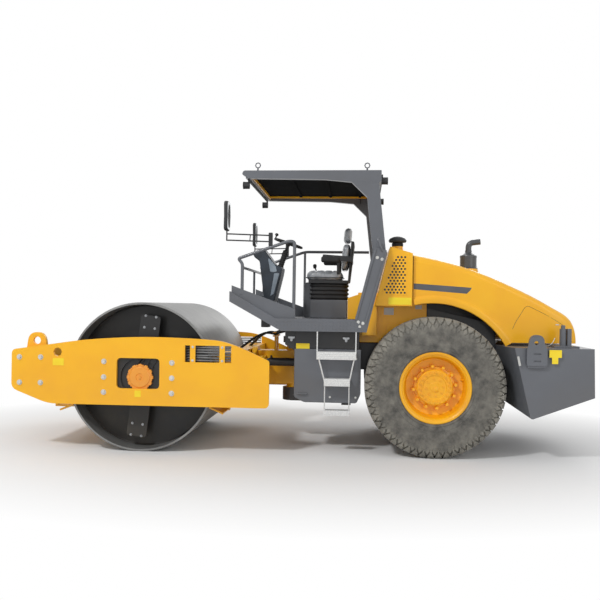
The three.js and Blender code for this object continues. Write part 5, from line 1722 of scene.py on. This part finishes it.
# %% Console panes
pane_plastic = moulded(
    "console_pane", "console_plastic", srgb(150, 163, 175), srgb(118, 131, 144), 0.3, 60, 0.0003,
    coat=0.6
)
for s, side in SIDES:
    upper = rounded(
        [(-0.420, 2.045, 0.02), (-0.338, 1.962, 0.02), (-0.318, 1.890, 0.02), (-0.392, 1.885, 0.02)]
    )
    lower = rounded(
        [(-0.348, 1.872, 0.01), (-0.292, 1.872, 0.01), (-0.352, 1.640, 0.01), (-0.388, 1.615, 0.01)]
    )
    for k, pane in enumerate((upper, lower)):
        side_plate(
            f"console_pane_{side}_{k}", "rear_frame", s * 0.170, 0.004, pane, pane_plastic,
            edge=0.0012
        )
    box = side_block("valve_box_" + side, s, (-0.43, 0.46, 1.275), (-0.345, 0.62, 1.432), 0.008)
    finished(box, "rear_frame", black)
print("panes are on the console")

# %% Steering column and wheel
TILT = Matrix.Rotation(math.radians(18), 4, "Y")
folds = [(0.034 - 0.005 * (k % 2), 0.012 + k * 0.0125) for k in range(15)]
column = turned(
    "column",
    [(0, 0), (0.036, 0), (0.036, 0.010)] + folds + [
        (0.024, 0.196), (0.017, 0.202), (0.015, 0.206), (0.015, 0.278), (0, 0.278)
    ], 40
)
column.data.transform(Matrix.Translation((-0.2975, 0, 1.9525)) @ TILT)
column.name = "steering_column_boot"
stand_in(column, "steering_column", soft_rubber)
torus = turned(
    "grip", [(0.16 + 0.013 * math.cos(a), 0.013 * math.sin(a)) for a in turns(16)], 120, closed=True
)
hub = turned(
    "hub",
    [
        (0, -0.041), (0.020, -0.041), (0.026, -0.020), (0.031, -0.010), (0.033, 0.004),
        (0.028, 0.012), (0.010, 0.0145), (0, 0.0145)
    ], 48
)
spokes = []
for a in turns(3, math.radians(90)):
    end = Vector((math.cos(a), math.sin(a), 0))
    spokes.append(
        tube(
            "spoke",
            [end * 0.022 - Vector((0, 0, 0.004)), end * 0.09 - Vector((0, 0, 0.006)), end * 0.158],
            0.0085, 0.02
        )
    )
knob = turned(
    "knob",
    [
        (0, 0.004), (0.008, 0.004), (0.008, 0.038), (0.017, 0.041), (0.0205, 0.050), (0.019, 0.061),
        (0.012, 0.068), (0, 0.070)
    ], 32, (-0.16, 0, 0)
)
wheel = joined("steering_wheel_moulded", [torus, hub, knob] + spokes)
wheel.data.transform(Matrix.Translation((-0.2093, 0, 2.2235)) @ TILT)
finished(wheel, "steering_wheel", soft_rubber, ("steering_wheel",))
print("steering wheel and column are made")

# %% [markdown]
# ## Seat
# A rubber bellows hides the seat's suspension. Its folds are a wave on a rounded box. The cushions
# are crowned closed forms with their sides pulled in. A short cloth simulation under pressure fills
# them, and their channels and piping come after it.

# %% Bellows
low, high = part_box("seat_suspension")
middle = (low + high) / 2
rows = []
for k in range(33):
    t = k / 32
    fold = 0.016 * (0.5 - 0.5 * math.cos(2 * math.pi * 4 * t))
    rows.append(
        round_box(
            middle.x, 0, (high.x - low.x) / 2 - 0.017 + fold, (high.y - low.y) / 2 - 0.017 + fold,
            low.z + (high.z - low.z) * t, 0.35
        )
    )
stand_in(lofted("seat_bellows", rows), "seat_suspension", soft_rubber)
print("bellows have four folds")


# %% Cushions
def pillow(name, outline, low, high):
    """A closed cushion. Its outline gives a share of full width at each share of its height."""
    x, y = (low.x + high.x) / 2, (low.y + high.y) / 2
    rows = []
    for share, spread in outline:
        rows.append(
            round_box(
                x, y, (high.x - low.x) / 2 * spread, (high.y - low.y) / 2 * spread,
                low.z + (high.z - low.z) * share, 0.38
            )
        )
    return lofted(name, rows)


def filled(piece, cell, reach, pressure=4.0):
    """Fills a closed cushion by cloth under pressure, with its movement kept short."""
    remesh = piece.modifiers.new("cells", "REMESH")
    remesh.mode, remesh.voxel_size = "VOXEL", cell
    piece = applied(piece, 60)
    before = [v.co.copy() for v in piece.data.vertices]
    cloth = piece.modifiers.new("cloth", "CLOTH")
    cloth.settings.use_pressure = True
    cloth.settings.uniform_pressure_force = pressure
    cloth.settings.effector_weights.gravity = 0
    cloth.point_cache.frame_start, cloth.point_cache.frame_end = 1, 20
    for frame_number in range(1, 21):
        scene.frame_set(frame_number)
    piece = applied(piece, 60)
    scene.frame_set(1)
    for vertex, start in zip(piece.data.vertices, before):
        move = vertex.co - start
        vertex.co = start + move * min(1.0, reach / max(move.length, 1e-9))
    piece.data.update()
    finer = piece.modifiers.new("finer", "SUBSURF")
    finer.levels = finer.render_levels = 1
    return applied(piece, 60)


def channelled(piece, along, lines, depth, width, facing):
    """Presses channels into the side of a cushion that faces one way."""
    for vertex in piece.data.vertices:
        share = vertex.normal.dot(facing)
        if share > 0.2:
            dip = sum(math.exp(-(((vertex.co[along] - at) / width) ** 2)) for at in lines)
            vertex.co -= facing * depth * min(dip, 1.0) * share
    piece.data.update()
    return piece


side_profile = [
    (0.0, 0.80), (0.04, 0.90), (0.16, 0.965), (0.35, 0.985), (0.6, 0.975), (0.8, 0.93),
    (0.92, 0.84), (0.98, 0.66), (1.0, 0.35)
]
low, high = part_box("seat_cushion")
seat = pillow("seat_pad", side_profile, low, high)
seat = channelled(
    filled(seat, 0.008, 0.010), 0, [low.x + 0.13, low.x + 0.22, low.x + 0.31], 0.009, 0.009,
    Vector((0, 0, 1))
)
shade(seat.data, 60)
finished(seat, "rear_frame", seat_cover, ("seat_cushion",))
piping = round_box(
    (low.x + high.x) / 2, 0, (high.x - low.x) / 2 * 0.975, (high.y - low.y) / 2 * 0.975,
    low.z + 0.030, 0.38, 64
)
cord = tube("seat_piping", piping + piping[:1], 0.0035, 0)
finished(cord, "rear_frame", trim_plastic)

back_low, back_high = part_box("seat_back")
lean = math.atan2(back_high.x - back_low.x - 0.075, back_high.z - back_low.z)


def upright(name, half_y, z0, z1, deep):
    """A cushion that stands up, leaning back a little."""
    rows, x0 = [], back_low.x + deep / 2 + 0.002
    for share, spread in (
        (0.0, 0.35), (0.02, 0.66), (0.06, 0.84), (0.16, 0.95), (0.5, 1.0), (0.82, 0.97),
        (0.94, 0.84), (0.985, 0.62), (1.0, 0.3)
    ):
        z = z0 + (z1 - z0) * share
        x = x0 + (z - back_low.z) * math.tan(lean)
        rows.append(round_box(x, 0, deep / 2 * (0.55 + 0.45 * spread), half_y * spread, z, 0.45))
    return lofted(name, rows)


for name, half_y, z0, z1, lines in (
    ("back_pad", 0.243, 1.906, 2.216, (1.99, 2.06, 2.13)), ("head_pad", 0.138, 2.228, 2.395, ())
):
    pad = filled(upright(name, half_y, z0, z1, 0.072), 0.008, 0.008)
    pad = channelled(pad, 2, lines, 0.008, 0.008, Vector((-1, 0, 0)))
    shade(pad.data, 60)
    finished(pad, "rear_frame", seat_cover, ("seat_back",))
print("cushions are filled")

# %% Armrests, levers and switches
arm_parts = []
for s in (-1, 1):
    arm_parts.append(side_block("arm", s, (0.185, 0.262, 1.992), (0.395, 0.318, 2.062), 0.024, 4))
    arm_parts.append(side_block("arm_post", s, (0.36, 0.275, 1.86), (0.395, 0.300, 2.035), 0.008))
finished(joined("armrests", arm_parts), "rear_frame", soft_rubber)
lever = [
    tube("stick", [(0.14, 0.40, 1.785), (0.115, 0.40, 1.88), (0.075, 0.40, 1.970)], 0.008, 0.03),
    tube("stick", [(0.28, 0.40, 1.785), (0.28, 0.40, 1.865)], 0.006, 0),
    turned(
        "gaiter",
        [
            (0, 0), (0.040, 0), (0.034, 0.012), (0.036, 0.018), (0.024, 0.030), (0.026, 0.036),
            (0.012, 0.050), (0, 0.050)
        ], 32, (0.138, 0.40, 1.788)
    )
]
finished(joined("levers", lever), "rear_frame", soft_rubber)
grips = [
    turned(
        "grip", [(0, 0), (0.014, 0), (0.021, 0.018), (0.023, 0.036), (0.018, 0.050), (0, 0.055)],
        32, (0.073, 0.40, 1.958)
    ),
    turned(
        "grip", [(0, 0), (0.010, 0), (0.014, 0.010), (0.012, 0.022), (0, 0.026)], 24,
        (0.28, 0.40, 1.862)
    )
]
finished(joined("lever_grips", grips), "rear_frame", trim_plastic)
switches = [
    block("switch", (0.02 + 0.035 * k, 0.355, 1.788), (0.042 + 0.035 * k, 0.375, 1.796), 0.002)
    for k in range(3)
]
finished(joined("switches", switches), "rear_frame", orange)
print("armrests and levers are on")

# %% [markdown]
# ## Steering cylinders
# Each cylinder is turned along its own line: an eye, a barrel with a gland, and a plated rod. Ports
# stand on the barrel for its two hoses.

# %% Barrels and rods
BARREL_EYE, ROD_EYE = Vector((-0.4575, 0.300, 0.885)), Vector((0.3225, 0.280, 0.885))


def along_line(piece, start, end):
    """Lays a piece made along +X on a level line from start to end."""
    way = end - start
    piece.data.transform(
        Matrix.Translation(start) @ Matrix.Rotation(math.atan2(way.y, way.x), 4, "Z")
    )
    return piece


for s, side in SIDES:
    first = Vector((BARREL_EYE.x, s * BARREL_EYE.y, BARREL_EYE.z))
    last = Vector((ROD_EYE.x, s * ROD_EYE.y, ROD_EYE.z))
    eye = turned(
        "eye",
        [
            (0.0205, -0.0315), (0.039, -0.0315), (0.0415, -0.029), (0.0415, 0.029), (0.039, 0.0315),
            (0.0205, 0.0315)
        ], 40, closed=True
    )
    neck = turned(
        "neck",
        [
            (0, 0.036), (0.026, 0.036), (0.030, 0.060), (0.041, 0.076), (0.0448, 0.082),
            (0.0448, 0.425), (0.0462, 0.427), (0.0515, 0.431), (0.0515, 0.452), (0.0495, 0.456),
            (0.0515, 0.460), (0.0515, 0.477), (0.048, 0.4795), (0.0262, 0.4795), (0.0262, 0.445),
            (0, 0.445)
        ], 48, axis="X"
    )
    ports = []
    for x in (0.105, 0.405):
        port = turned(
            "port",
            [
                (0, 0.040), (0.015, 0.040), (0.015, 0.058), (0.011, 0.060), (0.011, 0.072),
                (0, 0.072)
            ], 20
        )
        port.data.transform(Matrix.Translation((x, 0, 0)))
        ports.append(port)
    barrel = along_line(joined("steering_barrel_turned_" + side, [eye, neck] + ports), first, last)
    stand_in(barrel, "steering_barrel_" + side)
    length = (last - first).length
    rod = turned(
        "rod",
        [
            (0, length - 0.5245), (0.021, length - 0.5245), (0.0248, length - 0.520),
            (0.0248, length - 0.062), (0.030, length - 0.056), (0.030, length - 0.036),
            (0, length - 0.036)
        ], 48, axis="X"
    )
    end_eye = turned(
        "eye",
        [
            (0.0205, -0.0315), (0.037, -0.0315), (0.0395, -0.029), (0.0395, 0.029), (0.037, 0.0315),
            (0.0205, 0.0315)
        ], 40, (length, 0, 0), closed=True
    )
    rod = along_line(joined("steering_rod_turned_" + side, [rod, end_eye]), first, last)
    stand_in(rod, "steering_rod_" + side, bright)
print("steering cylinders are turned")

# %% [markdown]
# ## Hoses across the joints
# Hoses run from the chassis to the hitch, and on from the hitch to the front frame. A clamp on the
# hitch holds them between.

# %% Hose runs
def blended(name, course):
    """A hose in hose rubber along a course, with its place baked into its mesh."""
    hose = tube(name, course, 0.0125, 0.07)
    hose.data.materials.append(hose_rubber)
    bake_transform(hose)


for s, side in SIDES:
    for k in range(3):
        rise = 0.03 * k
        far = [
            (0.06, s * (0.36 - 0.02 * k), 1.180 + rise * 0.4),
            (-0.03, s * (0.33 - 0.03 * k), 1.215 + rise),
            (-0.13, s * (0.25 - 0.03 * k), 1.240 + rise),
            (-0.24, s * (0.20 - 0.03 * k), 1.215 + rise * 0.6),
            (-0.33, s * (0.17 - 0.025 * k), 1.188)
        ]
        blended(
            f"bridge_hose_{side}_{k}", far
        )
        near = [
            (-0.33, s * (0.17 - 0.025 * k), 1.188), (-0.43, s * (0.19 - 0.02 * k), 1.205),
            (-0.54, s * (0.24 + 0.01 * k), 1.155), (-0.63, s * (0.32 + 0.03 * k), 1.080),
            (-0.70, s * (0.42 + 0.04 * k), 1.020)
        ]
        blended(
            f"front_hose_{side}_{k}", near
        )
clamp = [
    block("clamp", (-0.352, s * 0.145 - 0.06, 1.158), (-0.308, s * 0.145 + 0.06, 1.174), 0.003)
    for s in (-1, 1)
]
clamp += [
    block("clamp", (-0.352, s * 0.145 - 0.06, 1.2015), (-0.308, s * 0.145 + 0.06, 1.212), 0.003)
    for s in (-1, 1)
]
clamp += [
    block("post", (-0.342, s * 0.098 - 0.012, 0.998), (-0.318, s * 0.098 + 0.012, 1.160), 0.002)
    for s in (-1, 1)
]
finished(joined("hose_clamp", clamp), "hitch", yellow)
places = [((-0.33, s * 0.145 + d, 1.212), (0, 0, 1)) for s in (-1, 1) for d in (-0.048, 0.048)]
bolted("hose_clamp_bolts", "hitch", places, 0.008, 0.008, zinc)

# %% [markdown]
# ## Tanks, counterweight and small fittings
# A black band caps each tank, with two latches, a handle and a bolted door below. The counterweight
# carries lug plates with two slots each, blank labels, reflectors and tail lamps.

# %% Tank bands, latches and plates
tank_low, tank_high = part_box("tank_left")
places = []
for s, side in SIDES:
    # The right side takes the left tank's inner face, so its fittings stand too far in.
    reach = abs(tank_high.y) if s > 0 else abs(tank_low.y)
    out, band_y = s * reach, s * (reach - 0.030)
    low, high = (-0.049, 0.5, tank_high.z + 0.0006), (0.60, reach - 0.030, 1.2485)
    shelf = side_block("tank_band_" + side, s, low, high, 0.004)
    finished(shelf, "rear_frame", black)
    inner, outer = sorted((band_y - s * 0.02, band_y))
    shoulder = plate(
        "tank_shoulder_" + side, "side", inner, outer,
        rounded(
            [
                (-0.150, 1.2485, 0.004), (-0.052, 1.2485, 0.004), (-0.052, 1.050, 0.004),
                (-0.150, 1.105, 0.01)
            ]
        ), edge=0.002
    )
    finished(shoulder, "rear_frame", black)
    label("tank_label_" + side, "rear_frame", 0.035, 1.085, band_y, (0.070, 0.034))
    for x in (-0.085, 0.485):
        low_y, high_y = sorted((band_y, band_y + s * 0.012))
        wing = plate(
            f"latch_{side}_{int(x * 1000)}", "side", low_y, high_y,
            rounded(
                [
                    (x - 0.034, 1.188, 0.008), (x + 0.034, 1.188, 0.008), (x + 0.030, 1.172, 0.004),
                    (x + 0.012, 1.168, 0.004), (x + 0.008, 1.142, 0.004), (x - 0.008, 1.142, 0.004),
                    (x - 0.012, 1.168, 0.004), (x - 0.030, 1.172, 0.004)
                ], 3
            ), edge=0.003
        )
        finished(wing, "rear_frame", steel)
    handle = tube(
        "tank_handle_" + side,
        [
            (-0.012, out, 0.60), (-0.012, out + s * 0.018, 0.60), (0.090, out + s * 0.018, 0.60),
            (0.090, out, 0.60)
        ], 0.007, 0.012
    )
    finished(handle, "rear_frame", grey)
    side_plate(
        "tank_door_" + side, "rear_frame", out, 0.003,
        box_outline(0.300, 0.545, 0.615, 0.995, 0.02), grey
    )
    places += [((x, out + s * 0.003, z), (0, s, 0)) for x in (0.325, 0.59) for z in (0.57, 0.97)]
bolted("tank_door_bolts", "rear_frame", places, 0.008, 0.008, zinc)
print("tanks have bands, latches and doors")

# %% Counterweight lug plates, pump and reflectors
weight_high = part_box("counterweight")[1]
for s, side in SIDES:
    y = s * weight_high.y
    slots = [box_outline(2.318, v, 2.392, v + 0.018, 0.007) for v in (0.992, 1.062)]
    outline = rounded(
        [
            (2.256, 0.955, 0.02), (2.450, 0.955, 0.02), (2.450, 1.110, 0.02), (2.400, 1.240, 0.04),
            (2.290, 1.240, 0.04), (2.256, 1.110, 0.02)
        ]
    )
    side_plate(
        "lug_plate_" + side, "rear_frame", y, 0.010, outline, grey,
        slots + [ring(2.345, 1.180, 0.021)], 0.002
    )
    t_shape = rounded(
        [
            (2.472, 1.040, 0.004), (2.497, 1.040, 0.004), (2.497, 0.978, 0.004),
            (2.556, 0.978, 0.004), (2.556, 1.040, 0.004), (2.590, 1.040, 0.004),
            (2.590, 1.114, 0.004), (2.472, 1.114, 0.004)
        ], 2
    )
    side_plate("weight_label_" + side, "rear_frame", y, 0.002, t_shape, label_yellow, edge=0.0004)
    side_plate(
        "weight_reflector_" + side, "rear_frame", y, 0.003,
        strip((2.172, 1.045), (2.192, 0.955), 0.020), plate_white, edge=0.0006
    )
stand_in(eased("hood_pump", 0.006, 3), "hood_pump")
low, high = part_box("hood_pump")
glands = [
    turned(
        "gland", [(0, 0), (0.020, 0), (0.020, 0.006), (0.014, 0.010), (0, 0.010)], 24,
        (low.x + 0.04, (low.y + high.y) / 2, high.z - 0.0015)
    )
]
finished(joined("pump_gland", glands), "rear_frame", steel)
course = [
    (2.410, -1.085, 1.165), (2.430, -1.04, 1.150), (2.500, -0.97, 1.148), (2.548, -0.93, 1.180),
    (2.572, -0.91, 1.225)
]
finished(tube("pump_chain", course, 0.0035, 0.03), "rear_frame", zinc)
back = weight_high.x
tail = [
    side_block("tail_lamp", s, (back - 0.0005, 0.80, 0.98), (back + 0.014, 0.96, 1.05), 0.008, 3)
    for s in (-1, 1)
]
finished(joined("tail_lamps", tail), "rear_frame", orange)
print("counterweight fittings are on")
